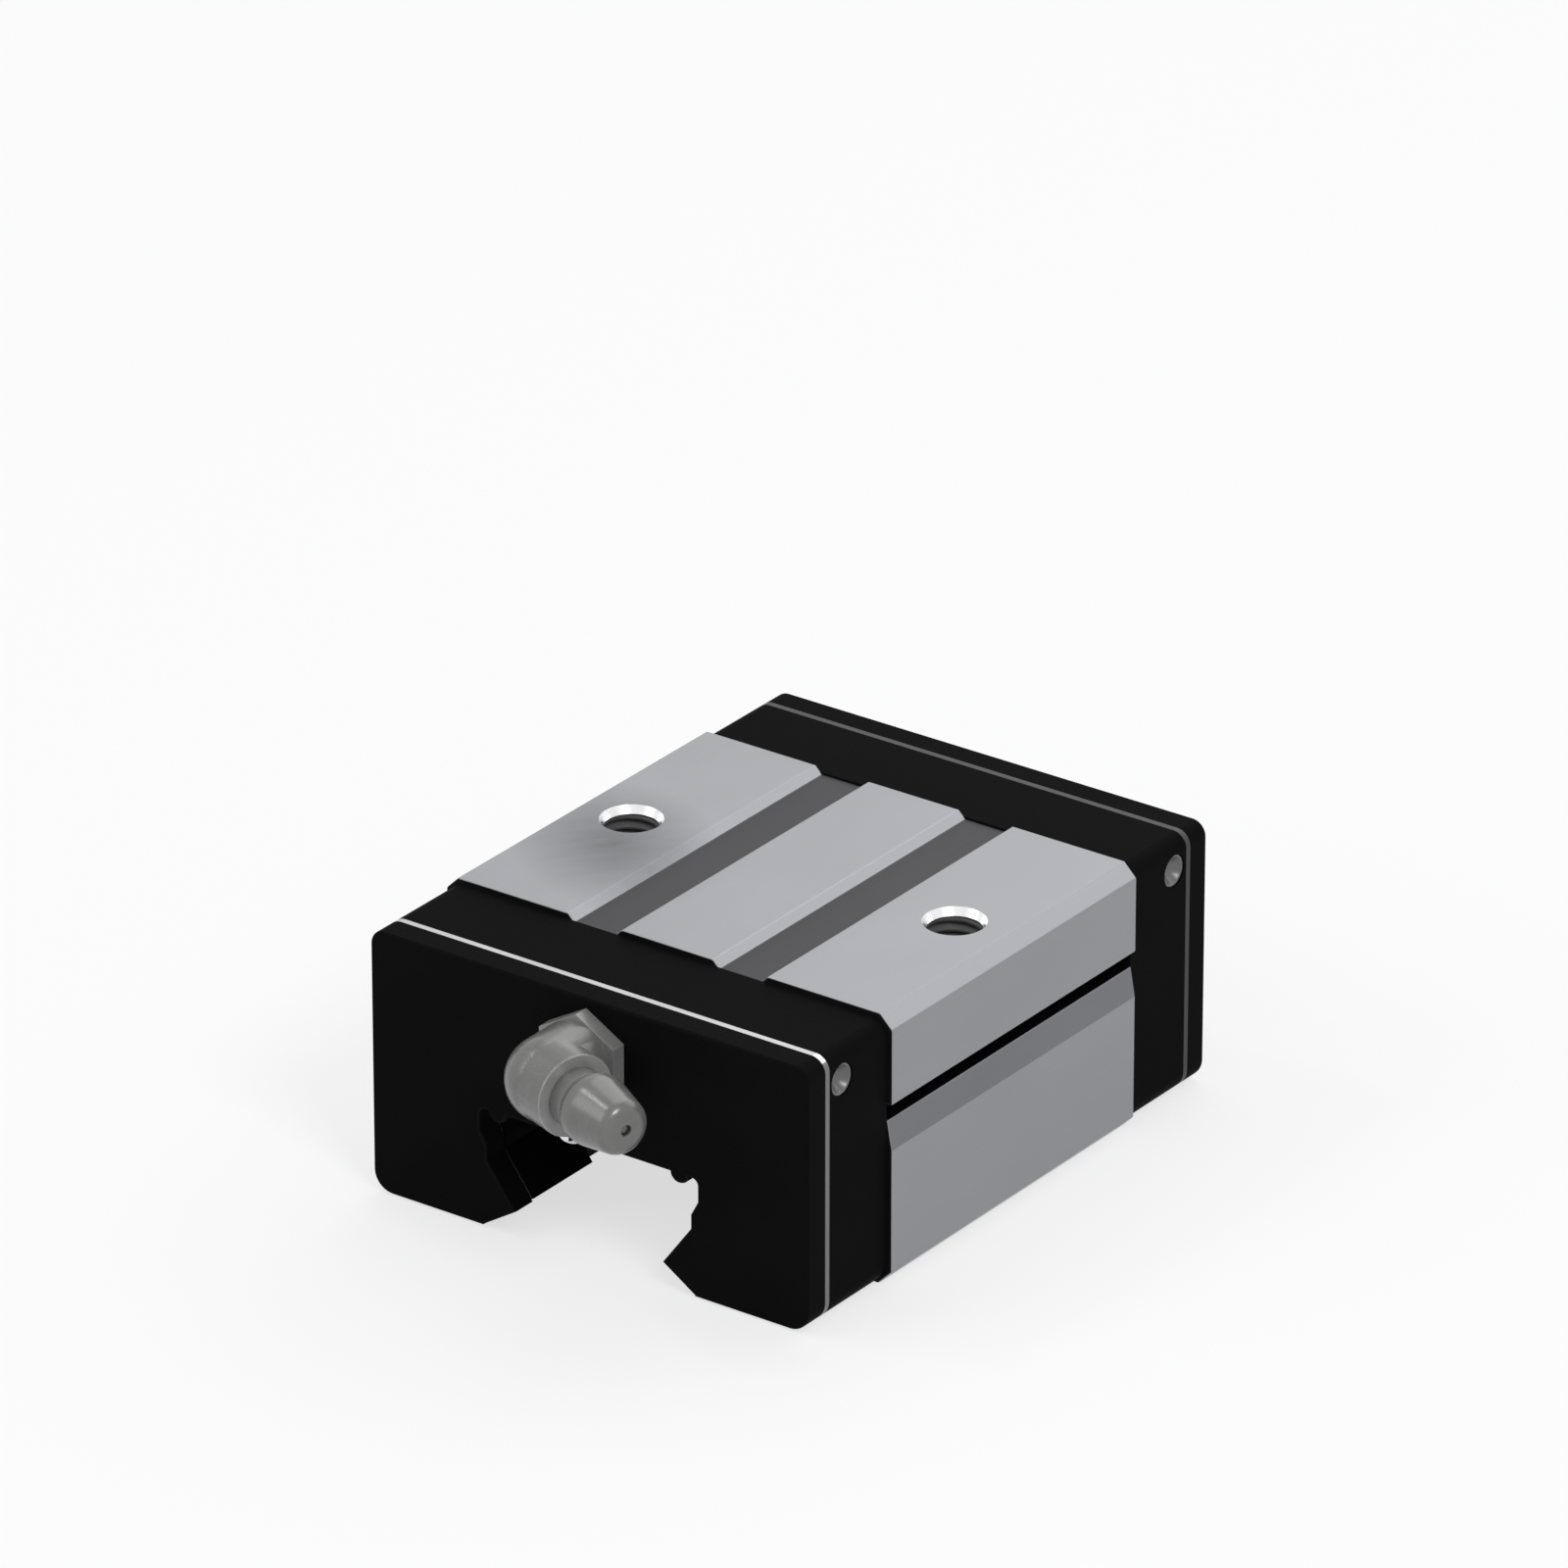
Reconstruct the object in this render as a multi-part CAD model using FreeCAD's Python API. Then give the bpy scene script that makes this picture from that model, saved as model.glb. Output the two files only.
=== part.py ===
import FreeCAD, Part
import math
import os

# A short two-hole linear guide block with four circuits of recirculating balls, in millimetres.
# X runs across the block, Y along its travel and Z up. The origin is the centre of the top mounting face.
# The grease nipple is on the front end, which is the one towards -Y.

# Steel body
BODY_WIDTH = 48.0
BODY_LENGTH = 37.0
BODY_HEIGHT = 26.1
BODY_CHAMFER = 1.3

# Three ground pads on the top, parted by two shallow grooves
MIDDLE_PAD_WIDTH = 9.8
GROOVE_WIDTH = 5.85
GROOVE_DEPTH = 0.72
GROOVE_WALL_RUN = 0.71

# Relief slit along each side, with a sloped band under it
SLIT_DEPTH_BELOW_TOP = 8.5
SLIT_HEIGHT = 1.6
SLIT_CUT = 2.0
BAND_INSET = 0.5
BAND_HEIGHT = 2.8

# Tapped mounting holes, drawn at the core diameter of an M6 thread
BOLT_SPACING = 35.0
BOLT_HOLE_RADIUS = 2.5
BOLT_HOLE_BEVEL = 0.4
BOLT_FLOOR = 1.85
DRILL_POINT_ANGLE = 118.0

# Channel along the underside: the head that runs in it, its waist and its flared foot
CHANNEL_HEAD_WIDTH = 23.0
CHANNEL_HEIGHT = 11.1
CHANNEL_SHOULDER_DROP = 1.7
CHANNEL_WAIST_INSET = 0.75
CHANNEL_WAIST_DROP = 3.1
CHANNEL_WAIST_HEIGHT = 1.4
CHANNEL_NECK_WIDTH = 15.4
CHANNEL_NECK_DROP = 8.65
CHANNEL_FOOT_WIDTH = 23.1
CHANNEL_TOP_GAP = 0.45
SEAL_GAP = 0.25
CAP_GAP = 0.5
PLATE_GAP = 0.75
SEAL_CORNER_RADIUS = 0.6

# Ball rows, set out from the head of the channel, with turns that take a share of the wall beside it
BALL_DIAMETER = 3.969
BALL_SPACE = 0.05
UPPER_ROW_INSET = 1.7
UPPER_ROW_RISE = 1.55
LOWER_ROW_INSET = 0.1
LOWER_ROW_DROP = 6.9
TURN_SHARE = 0.304
RACEWAY_GAP = 0.08
TUBE_GAP = 0.115
CEILING_RISE = 0.55

# Ball retainers and bottom seals
FIT_GAP = 0.05
RETAINER_RUN_GAP = 0.45
SIDE_RETAINER_THICKNESS = 1.05
LOWER_RETAINER_REACH = 2.3
RETAINER_TENON = 0.8
BOTTOM_SEAL_WIDTH = 3.7
BOTTOM_SEAL_THICKNESS = 0.8

# End caps, end plates and end seals
END_INSET = 0.5
END_FOOT_LIFT = 0.1
END_TOP_RADIUS = 1.45
END_FOOT_RADIUS = 2.0
CAP_LENGTH = 8.5
PLATE_THICKNESS = 0.6
SEAL_THICKNESS = 2.6
SEAL_EDGE_RADIUS = 0.3
GUIDE_WALL = 0.8

# Cap screws, with their heads hidden under the seal, set in from its sides
SCREW_RADIUS = 1.25
SCREW_HEAD_RADIUS = 2.25
SCREW_HEAD_HEIGHT = 1.5
SCREW_SOCKET_FLATS = 2.0
SCREW_GRIP = 5.0
SCREW_HOLE_GAP = 0.1
SCREW_TIP_ROOM = 1.0
UPPER_SCREW_INSET = 6.5
UPPER_SCREW_DEPTH = 6.5
LOWER_SCREW_INSET = 3.2

# Moulded pegs that hold the seal to the plate and the cap
PEG_RADIUS = 1.2
PEG_GRIP = 2.0
UPPER_PEG_X = 8.5
UPPER_PEG_DEPTH = 8.6
LOWER_PEG_X = 14.5

# Grease ways in the caps
PORT_DEPTH = 6.0
PORT_RADIUS = 3.0
PORT_FLOOR = 1.4
OIL_HOLE_RADIUS = 1.0
OIL_GROOVE_WIDTH = 1.4
OIL_GROOVE_DEPTH = 1.0
OIL_GROOVE_X = 12.0
GALLERY_RADIUS = 0.8
SIDE_PORT_RADIUS = 1.55
SIDE_PORT_LENGTH = 3.0
SIDE_PORT_DEPTH = 3.4
SIDE_PORT_FROM_PLATE = 1.85
PLUG_RECESS = 0.15
PLUG_DISH_DEPTH = 0.6
PLUG_RIM = 0.2
PLUG_FLOOR_RADIUS = 0.45
PORT_SCREW_RECESS = 0.3
PORT_SCREW_FLATS = 3.0
PORT_SCREW_SOCKET_DEPTH = 2.5

# Angled grease nipple
NIPPLE_ANGLE = 70.0
HEX_FLATS = 8.0
HEX_LENGTH = 1.55
ELBOW_RADIUS = 3.95
ELBOW_REACH = 5.35
BOSS_RADIUS = 3.85
BOSS_STAND_OUT = 0.1
CROSS_WAY_RADIUS = 0.8
SPIGOT_RADIUS = 1.9
SPIGOT_LENGTH = 1.7
NECK_RADIUS = 2.75
NECK_LENGTH = 1.75
HEAD_RADIUS = 3.25
HEAD_FLARE = 0.9
HEAD_STRAIGHT = 0.9
HEAD_ROUNDING = 4.0
TIP_RADIUS = 2.4
TIP_TAPER = 4.4
TIP_ROUNDING = 1.2
ORIFICE_RADIUS = 0.5
ORIFICE_LENGTH = 0.35
SEAT_LENGTH = 0.6
CHECK_BALL_RADIUS = 1.15
CHECK_BALL_GAP = 0.1
CHECK_BALL_SEAT_GAP = 0.03
SPRING_WIRE_RADIUS = 0.15
SPRING_COILS = 6

# Places worked out from the sizes above
HALF_WIDTH = BODY_WIDTH / 2
HALF_LENGTH = BODY_LENGTH / 2
FLOOR_Z = -BODY_HEIGHT
CHANNEL_TOP_Z = FLOOR_Z + CHANNEL_HEIGHT
HEAD_HALF = CHANNEL_HEAD_WIDTH / 2
BALL_RADIUS = BALL_DIAMETER / 2
RACEWAY_RADIUS = BALL_RADIUS + RACEWAY_GAP
TUBE_RADIUS = BALL_RADIUS + TUBE_GAP
TURN_RADIUS = TURN_SHARE * (HALF_WIDTH - HEAD_HALF)
ROWS = {
    "upper": (HEAD_HALF - UPPER_ROW_INSET, CHANNEL_TOP_Z + UPPER_ROW_RISE),
    "lower": (HEAD_HALF - LOWER_ROW_INSET, CHANNEL_TOP_Z - LOWER_ROW_DROP),
}
BOLT_TIP_Z = ROWS["upper"][1] + TUBE_RADIUS + BOLT_FLOOR
BOLT_WALL_END_Z = BOLT_TIP_Z + BOLT_HOLE_RADIUS / math.tan(math.radians(DRILL_POINT_ANGLE / 2))
MIDDLE_Z = (ROWS["upper"][1] + ROWS["lower"][1]) / 2
CEILING_Z = ROWS["upper"][1] + CEILING_RISE
SIDE_RETAINER_X = HEAD_HALF + RETAINER_RUN_GAP
WALL_X = SIDE_RETAINER_X + SIDE_RETAINER_THICKNESS + FIT_GAP
FOOT_X = ROWS["lower"][0]
BOTTOM_SEAL_TOP_Z = FLOOR_Z + BOTTOM_SEAL_THICKNESS + END_FOOT_LIFT
END_HALF_WIDTH = HALF_WIDTH - END_INSET
END_TOP_Z = -END_INSET
END_FOOT_Z = FLOOR_Z + END_FOOT_LIFT
CAP_FACE_Y = HALF_LENGTH + CAP_LENGTH
PLATE_FACE_Y = CAP_FACE_Y + PLATE_THICKNESS
SEAL_FACE_Y = PLATE_FACE_Y + SEAL_THICKNESS
SCREW_PLACES = [
    (END_HALF_WIDTH - UPPER_SCREW_INSET, -UPPER_SCREW_DEPTH),
    (END_HALF_WIDTH - LOWER_SCREW_INSET, MIDDLE_Z),
]
PEG_PLACES = [(UPPER_PEG_X, -UPPER_PEG_DEPTH), (LOWER_PEG_X, MIDDLE_Z)]
SIDE_PORT_Y = CAP_FACE_Y - SIDE_PORT_FROM_PLATE
BOSS_LENGTH = ELBOW_RADIUS + BOSS_STAND_OUT
CUT_PAST = 1.0

SAME_POINT = 1e-6

ORIGIN = FreeCAD.Vector(0, 0, 0)
ALONG_X = FreeCAD.Vector(1, 0, 0)
ALONG_Y = FreeCAD.Vector(0, 1, 0)
FORWARD = FreeCAD.Vector(0, -1, 0)
UP = FreeCAD.Vector(0, 0, 1)


# Helpers

def at(x, y, z):
    return FreeCAD.Vector(x, y, z)


def rounded_face(corners, y):
    """Face in the plane at y. Each corner is (x, z), or (x, z, radius) for a rounded one."""
    edges = []
    starts = []
    ends = []
    arcs = []
    for index, corner in enumerate(corners):
        here = at(corner[0], y, corner[1])
        before = at(corners[index - 1][0], y, corners[index - 1][1])
        following = corners[(index + 1) % len(corners)]
        back = (before - here).normalize()
        ahead = (at(following[0], y, following[1]) - here).normalize()
        if len(corner) == 2:
            starts.append(here)
            ends.append(here)
            arcs.append(None)
            continue
        radius = corner[2]
        half_angle = back.getAngle(ahead) / 2
        tangent = radius / math.tan(half_angle)
        middle = (back + ahead).normalize() * (radius / math.sin(half_angle) - radius)
        starts.append(here + back * tangent)
        ends.append(here + ahead * tangent)
        arcs.append(here + middle)
    for index, arc in enumerate(arcs):
        if arc is not None:
            edges.append(Part.Arc(starts[index], arc, ends[index]).toShape())
        next_start = starts[(index + 1) % len(corners)]
        if not next_start.isEqual(ends[index], SAME_POINT):
            edges.append(Part.makeLine(ends[index], next_start))
    return Part.Face(Part.Wire(edges))


def prism(corners, y_low, y_high):
    return rounded_face(corners, y_low).extrude(at(0, y_high - y_low, 0))


def mirrored_outline(half):
    """Closed outline from the half at x > 0, whose first and last corners join their mirror images."""
    return half + [(-corner[0],) + tuple(corner[1:]) for corner in reversed(half)]


def box(x_range, y_range, z_range):
    low = at(x_range[0], y_range[0], z_range[0])
    return Part.makeBox(x_range[1] - x_range[0], y_range[1] - y_range[0], z_range[1] - z_range[0], low)


def rod(radius, start, end):
    return Part.makeCylinder(radius, (end - start).Length, start, end - start)


def x_rod(radius, y, z, x_low, x_high):
    return rod(radius, at(x_low, y, z), at(x_high, y, z))


def y_rod(radius, x, z, y_low, y_high):
    return rod(radius, at(x, y_low, z), at(x, y_high, z))


def turned(profile, base, axis):
    """Turn a closed profile of (radius, distance) corners, rounded or not, about the axis through base."""
    shape = rounded_face(profile, 0).revolve(ORIGIN, UP, 360)
    shape.Placement = FreeCAD.Placement(base, FreeCAD.Rotation(UP, axis))
    return shape


def hexagon(flats, base, axis, length):
    """Hexagon bar from base along a level axis, with one corner upwards."""
    across = UP.cross(axis).normalize()
    radius = flats / math.sqrt(3)
    corners = []
    for index in range(6):
        angle = math.radians(60 * index)
        corners.append(base + UP * (radius * math.cos(angle)) + across * (radius * math.sin(angle)))
    face = Part.Face(Part.makePolygon(corners + corners[:1]))
    return face.extrude(axis * length)


def left_of(shape):
    return shape.mirror(ORIGIN, ALONG_X)


def front_of(shape):
    return shape.mirror(ORIGIN, ALONG_Y)


def cut_both_sides(shape, tools):
    return shape.cut(tools + [left_of(tool) for tool in tools])


# Steel body

def body_outline():
    pad = MIDDLE_PAD_WIDTH / 2
    groove_end = pad + GROOVE_WIDTH
    slit_top = -SLIT_DEPTH_BELOW_TOP
    slit_foot = slit_top - SLIT_HEIGHT
    band_foot = slit_foot - BAND_HEIGHT
    seal_side = FOOT_X + BOTTOM_SEAL_WIDTH
    row_z = ROWS["lower"][1]
    half = [
        (pad, 0),
        (pad + GROOVE_WALL_RUN, -GROOVE_DEPTH),
        (groove_end - GROOVE_WALL_RUN, -GROOVE_DEPTH),
        (groove_end, 0),
        (HALF_WIDTH - BODY_CHAMFER, 0),
        (HALF_WIDTH, -BODY_CHAMFER),
        (HALF_WIDTH, slit_top),
        (HALF_WIDTH - SLIT_CUT, slit_top),
        (HALF_WIDTH - SLIT_CUT, slit_foot),
        (HALF_WIDTH - BAND_INSET, slit_foot),
        (HALF_WIDTH, band_foot),
        (HALF_WIDTH, FLOOR_Z + BODY_CHAMFER),
        (HALF_WIDTH - BODY_CHAMFER, FLOOR_Z),
        (seal_side, FLOOR_Z),
        (seal_side, BOTTOM_SEAL_TOP_Z),
        (FOOT_X, BOTTOM_SEAL_TOP_Z),
        (FOOT_X, row_z - BALL_RADIUS / 2),
        (WALL_X, row_z + BALL_RADIUS / 2),
        (WALL_X, CEILING_Z),
    ]
    return mirrored_outline(half)


def bolt_hole():
    """Hole with a drill point, which leaves a floor of steel over the ball return under it."""
    mouth = BOLT_HOLE_RADIUS + BOLT_HOLE_BEVEL
    profile = [
        (0, BOLT_TIP_Z),
        (BOLT_HOLE_RADIUS, BOLT_WALL_END_Z),
        (BOLT_HOLE_RADIUS, -BOLT_HOLE_BEVEL),
        (mouth, 0),
        (mouth, CUT_PAST),
        (0, CUT_PAST),
    ]
    return turned(profile, at(BOLT_SPACING / 2, 0, 0), UP)


def screw_tap(x, z):
    """Blind hole for one cap screw in the rear end of the body."""
    floor_y = HALF_LENGTH - SCREW_GRIP - SCREW_TIP_ROOM
    return y_rod(SCREW_RADIUS + FIT_GAP, x, z, floor_y, HALF_LENGTH + CUT_PAST)


def block_body():
    body = prism(body_outline(), -HALF_LENGTH, HALF_LENGTH)
    y_low = -HALF_LENGTH - CUT_PAST
    y_high = HALF_LENGTH + CUT_PAST
    tools = [bolt_hole()]
    for row_x, row_z in ROWS.values():
        tools.append(y_rod(RACEWAY_RADIUS, row_x, row_z, y_low, y_high))
        tools.append(y_rod(TUBE_RADIUS, row_x + 2 * TURN_RADIUS, row_z, y_low, y_high))
    for x, z in SCREW_PLACES:
        tools.append(screw_tap(x, z))
        tools.append(front_of(screw_tap(x, z)))
    return cut_both_sides(body, tools)


# Balls

def circuit_place(distance, row_x, row_z):
    """Point at a distance along one circuit, from the front end of its loaded row."""
    turn = math.pi * TURN_RADIUS
    axis_x = row_x + TURN_RADIUS
    if distance < BODY_LENGTH:
        return at(row_x, -HALF_LENGTH + distance, row_z)
    distance -= BODY_LENGTH
    if distance < turn:
        across = TURN_RADIUS * math.cos(distance / TURN_RADIUS)
        out = TURN_RADIUS * math.sin(distance / TURN_RADIUS)
        return at(axis_x - across, HALF_LENGTH + out, row_z)
    distance -= turn
    if distance < BODY_LENGTH:
        return at(axis_x + TURN_RADIUS, HALF_LENGTH - distance, row_z)
    distance -= BODY_LENGTH
    across = TURN_RADIUS * math.cos(distance / TURN_RADIUS)
    out = TURN_RADIUS * math.sin(distance / TURN_RADIUS)
    return at(axis_x + across, -HALF_LENGTH - out, row_z)


def ball_circuit(row_x, row_z):
    """As many balls as the circuit holds with a little space between them, also in the turns."""
    length = 2 * BODY_LENGTH + 2 * math.pi * TURN_RADIUS
    chord = BALL_DIAMETER + BALL_SPACE
    least_step = 2 * TURN_RADIUS * math.asin(chord / (2 * TURN_RADIUS))
    count = int(length / least_step)
    step = length / count
    places = [circuit_place(index * step, row_x, row_z) for index in range(count)]
    return Part.makeCompound([Part.makeSphere(BALL_RADIUS, place) for place in places])


# Ball retainers and bottom seals

def top_retainer_outline(grow):
    half_width = ROWS["upper"][0] - BALL_RADIUS / 2 + grow
    top = CEILING_Z - FIT_GAP + grow
    foot = CHANNEL_TOP_Z + RETAINER_RUN_GAP - grow
    return mirrored_outline([(half_width, top), (half_width, foot)])


def side_retainer_outline(grow):
    upper_z = ROWS["upper"][1] - BALL_RADIUS / 4
    lower_z = ROWS["lower"][1] + BALL_RADIUS
    inner = SIDE_RETAINER_X - grow
    outer = SIDE_RETAINER_X + SIDE_RETAINER_THICKNESS + grow
    top = upper_z + grow
    foot = lower_z - grow
    return [(inner, top), (outer, top), (outer, foot), (inner, foot)]


def side_retainer_room(grow):
    """Outline of the side retainer, opened towards the middle of the channel."""
    inner_top, outer_top, outer_foot, inner_foot = side_retainer_outline(grow)
    return [(0, inner_top[1]), outer_top, outer_foot, (0, inner_foot[1])]


def lower_retainer_outline(grow):
    """Lip beside the lower row, which follows the neck and the flared foot of the channel."""
    row_z = ROWS["lower"][1]
    outer = FOOT_X - FIT_GAP + grow
    neck_z = CHANNEL_TOP_Z - CHANNEL_NECK_DROP
    foot = BOTTOM_SEAL_TOP_Z + FIT_GAP - grow
    tip_z = row_z - BALL_RADIUS / 2 + grow
    inner = outer - LOWER_RETAINER_REACH - grow
    return [
        (outer, tip_z),
        (inner + (tip_z - neck_z) / 2, tip_z),
        (inner, neck_z),
        (outer - BALL_RADIUS / 4, foot),
        (outer, foot),
    ]


def retainer(outline):
    """Strip as long as the body, with a tenon into each cap, hollowed for the ball rows beside it."""
    reach = HALF_LENGTH + RETAINER_TENON
    strip = prism(outline(0), -reach, reach)
    for row_x, row_z in ROWS.values():
        strip = cut_both_sides(strip, [y_rod(TUBE_RADIUS, row_x, row_z, -reach, reach)])
    return strip


def retainer_pocket(outline):
    return prism(outline(FIT_GAP), HALF_LENGTH - CUT_PAST, HALF_LENGTH + RETAINER_TENON + FIT_GAP)


def bottom_seal():
    """Flat strip in a rebate under the body, with its inner edge cut to the flared foot of the channel."""
    outer = FOOT_X + BOTTOM_SEAL_WIDTH - FIT_GAP
    top = BOTTOM_SEAL_TOP_Z - FIT_GAP
    inner_foot = foot_edge_x(END_FOOT_Z, CAP_GAP)
    corners = [(FOOT_X, top), (outer, top), (outer, END_FOOT_Z), (inner_foot, END_FOOT_Z)]
    return prism(corners, -HALF_LENGTH, HALF_LENGTH)


# Channel openings in the end pieces

def foot_edge_x(z, gap):
    """Where the flared foot of the channel, opened by a gap, lies at a height."""
    neck_z = CHANNEL_TOP_Z - CHANNEL_NECK_DROP
    share = (neck_z - z) / (neck_z - FLOOR_Z)
    return (CHANNEL_NECK_WIDTH + share * (CHANNEL_FOOT_WIDTH - CHANNEL_NECK_WIDTH)) / 2 + gap


def channel_opening(gap, y_low, y_high):
    head = HEAD_HALF + gap
    waist = head - CHANNEL_WAIST_INSET
    waist_z = CHANNEL_TOP_Z - CHANNEL_WAIST_DROP
    neck_z = CHANNEL_TOP_Z - CHANNEL_NECK_DROP
    under = FLOOR_Z - CUT_PAST
    half = [
        (head, CHANNEL_TOP_Z + CHANNEL_TOP_GAP - SEAL_GAP + gap, SEAL_CORNER_RADIUS),
        (head, CHANNEL_TOP_Z - CHANNEL_SHOULDER_DROP),
        (waist, waist_z),
        (waist, waist_z - CHANNEL_WAIST_HEIGHT),
        (foot_edge_x(neck_z, gap), neck_z),
        (foot_edge_x(under, gap), under),
    ]
    return prism(mirrored_outline(half), y_low, y_high)


def seal_opening():
    """Opening of the seal, with a round tongue left standing into the groove of each upper row."""
    row_x, row_z = ROWS["upper"]
    radius = BALL_RADIUS / 2
    y_low = PLATE_FACE_Y - CUT_PAST
    y_high = SEAL_FACE_Y + CUT_PAST
    tongue = y_rod(radius, row_x, row_z - BALL_RADIUS + radius, y_low, y_high)
    return cut_both_sides(channel_opening(SEAL_GAP, y_low, y_high), [tongue])


# End pieces, made for the rear end and mirrored to the front

def end_block(y_low, y_high):
    half = [(END_HALF_WIDTH, END_TOP_Z, END_TOP_RADIUS), (END_HALF_WIDTH, END_FOOT_Z, END_FOOT_RADIUS)]
    return prism(mirrored_outline(half), y_low, y_high)


def guide_core(radius, wall):
    """Half round core of the ball turns on the right, one drum for each row."""
    upper_x, upper_z = ROWS["upper"]
    lower_x, lower_z = ROWS["lower"]
    top = upper_z + TUBE_RADIUS + wall
    foot = lower_z - TUBE_RADIUS - wall
    upper = Part.makeCylinder(radius, top - MIDDLE_Z, at(upper_x + TURN_RADIUS, HALF_LENGTH, MIDDLE_Z), UP)
    lower = Part.makeCylinder(radius, MIDDLE_Z - foot, at(lower_x + TURN_RADIUS, HALF_LENGTH, foot), UP)
    return upper.fuse(lower)


def turn_tubes():
    centres = [at(row_x + TURN_RADIUS, HALF_LENGTH, row_z) for row_x, row_z in ROWS.values()]
    return [Part.makeTorus(TURN_RADIUS, TUBE_RADIUS, centre) for centre in centres]


def cap_screw_holes():
    y_low = HALF_LENGTH - CUT_PAST
    y_high = CAP_FACE_Y + CUT_PAST
    return [y_rod(SCREW_RADIUS + SCREW_HOLE_GAP, x, z, y_low, y_high) for x, z in SCREW_PLACES]


def return_guide():
    core = guide_core(TURN_RADIUS - 2 * FIT_GAP, GUIDE_WALL)
    behind = box((0, BODY_WIDTH), (0, HALF_LENGTH), (FLOOR_Z, 0))
    tools = turn_tubes() + cap_screw_holes()
    tools += [behind, channel_opening(CAP_GAP + FIT_GAP, 0, CAP_FACE_Y)]
    tools += [retainer_pocket(side_retainer_room), retainer_pocket(lower_retainer_outline)]
    return core.cut(tools)


def oil_ways():
    """Grease port, the groove from it to the ball turns, and the gallery out to the side port."""
    port_z = -PORT_DEPTH
    gallery_z = -SIDE_PORT_DEPTH
    side_port_floor = END_HALF_WIDTH - SIDE_PORT_LENGTH
    side_port_end = END_HALF_WIDTH + CUT_PAST
    half = OIL_GROOVE_WIDTH / 2
    groove_y = (HALF_LENGTH - CUT_PAST, HALF_LENGTH + OIL_GROOVE_DEPTH)
    turn_z = ROWS["upper"][1] + TUBE_RADIUS
    return [
        y_rod(PORT_RADIUS, 0, port_z, HALF_LENGTH + PORT_FLOOR, CAP_FACE_Y + CUT_PAST),
        y_rod(OIL_HOLE_RADIUS, 0, port_z, HALF_LENGTH - CUT_PAST, CAP_FACE_Y),
        box((0, OIL_GROOVE_X + half), groove_y, (port_z - half, port_z + half)),
        box((OIL_GROOVE_X - half, OIL_GROOVE_X + half), groove_y, (turn_z, port_z + half)),
        x_rod(GALLERY_RADIUS, SIDE_PORT_Y, gallery_z, 0, END_HALF_WIDTH),
        x_rod(SIDE_PORT_RADIUS, SIDE_PORT_Y, gallery_z, side_port_floor, side_port_end),
    ]


def end_cap():
    tools = turn_tubes() + oil_ways() + cap_screw_holes()
    tools.append(guide_core(TURN_RADIUS - FIT_GAP, GUIDE_WALL + FIT_GAP))
    for outline in (top_retainer_outline, side_retainer_outline, lower_retainer_outline):
        tools.append(retainer_pocket(outline))
    peg_floor = CAP_FACE_Y - PEG_GRIP - FIT_GAP
    for x, z in PEG_PLACES:
        tools.append(y_rod(PEG_RADIUS + FIT_GAP, x, z, peg_floor, CAP_FACE_Y + CUT_PAST))
    cap = cut_both_sides(end_block(HALF_LENGTH, CAP_FACE_Y), tools)
    return cap.cut(channel_opening(CAP_GAP, HALF_LENGTH - CUT_PAST, CAP_FACE_Y + CUT_PAST))


def end_plate():
    y_low = CAP_FACE_Y - CUT_PAST
    y_high = PLATE_FACE_Y + CUT_PAST
    tools = [y_rod(PORT_RADIUS + SCREW_HOLE_GAP, 0, -PORT_DEPTH, y_low, y_high)]
    tools += [y_rod(SCREW_RADIUS + SCREW_HOLE_GAP, x, z, y_low, y_high) for x, z in SCREW_PLACES]
    tools += [y_rod(PEG_RADIUS + FIT_GAP, x, z, y_low, y_high) for x, z in PEG_PLACES]
    plate = cut_both_sides(end_block(CAP_FACE_Y, PLATE_FACE_Y), tools)
    return plate.cut(channel_opening(PLATE_GAP, y_low, y_high))


def end_seal():
    blank = end_block(PLATE_FACE_Y, SEAL_FACE_Y)
    outer_edges = [edge for edge in blank.Edges if edge.BoundBox.YMin > SEAL_FACE_Y - SEAL_EDGE_RADIUS]
    seal = blank.makeFillet(SEAL_EDGE_RADIUS, outer_edges)
    y_low = PLATE_FACE_Y - CUT_PAST
    tools = [y_rod(PORT_RADIUS + SCREW_HOLE_GAP, 0, -PORT_DEPTH, y_low, SEAL_FACE_Y + CUT_PAST)]
    recess_y = PLATE_FACE_Y + SCREW_HEAD_HEIGHT + SCREW_HOLE_GAP
    tools += [y_rod(SCREW_HEAD_RADIUS + SCREW_HOLE_GAP, x, z, y_low, recess_y) for x, z in SCREW_PLACES]
    seal = cut_both_sides(seal, tools).cut(seal_opening())
    pegs = [y_rod(PEG_RADIUS, x, z, CAP_FACE_Y - PEG_GRIP, PLATE_FACE_Y) for x, z in PEG_PLACES]
    return seal.fuse(pegs + [left_of(peg) for peg in pegs])


def cap_screw(x, z):
    """Socket screw through plate and cap into the rear end of the body."""
    length = PLATE_THICKNESS + CAP_LENGTH + SCREW_GRIP
    profile = [
        (0, SCREW_HEAD_HEIGHT),
        (SCREW_HEAD_RADIUS, SCREW_HEAD_HEIGHT),
        (SCREW_HEAD_RADIUS, 0),
        (SCREW_RADIUS, 0),
        (SCREW_RADIUS, -length),
        (0, -length),
    ]
    base = at(x, PLATE_FACE_Y, z)
    socket_floor = base + ALONG_Y * (SCREW_HEAD_HEIGHT / 2)
    socket = hexagon(SCREW_SOCKET_FLATS, socket_floor, ALONG_Y, SCREW_HEAD_HEIGHT)
    return turned(profile, base, ALONG_Y).cut(socket)


def cap_screws():
    screws = [cap_screw(x, z) for x, z in SCREW_PLACES]
    return Part.makeCompound(screws + [left_of(screw) for screw in screws])


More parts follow.
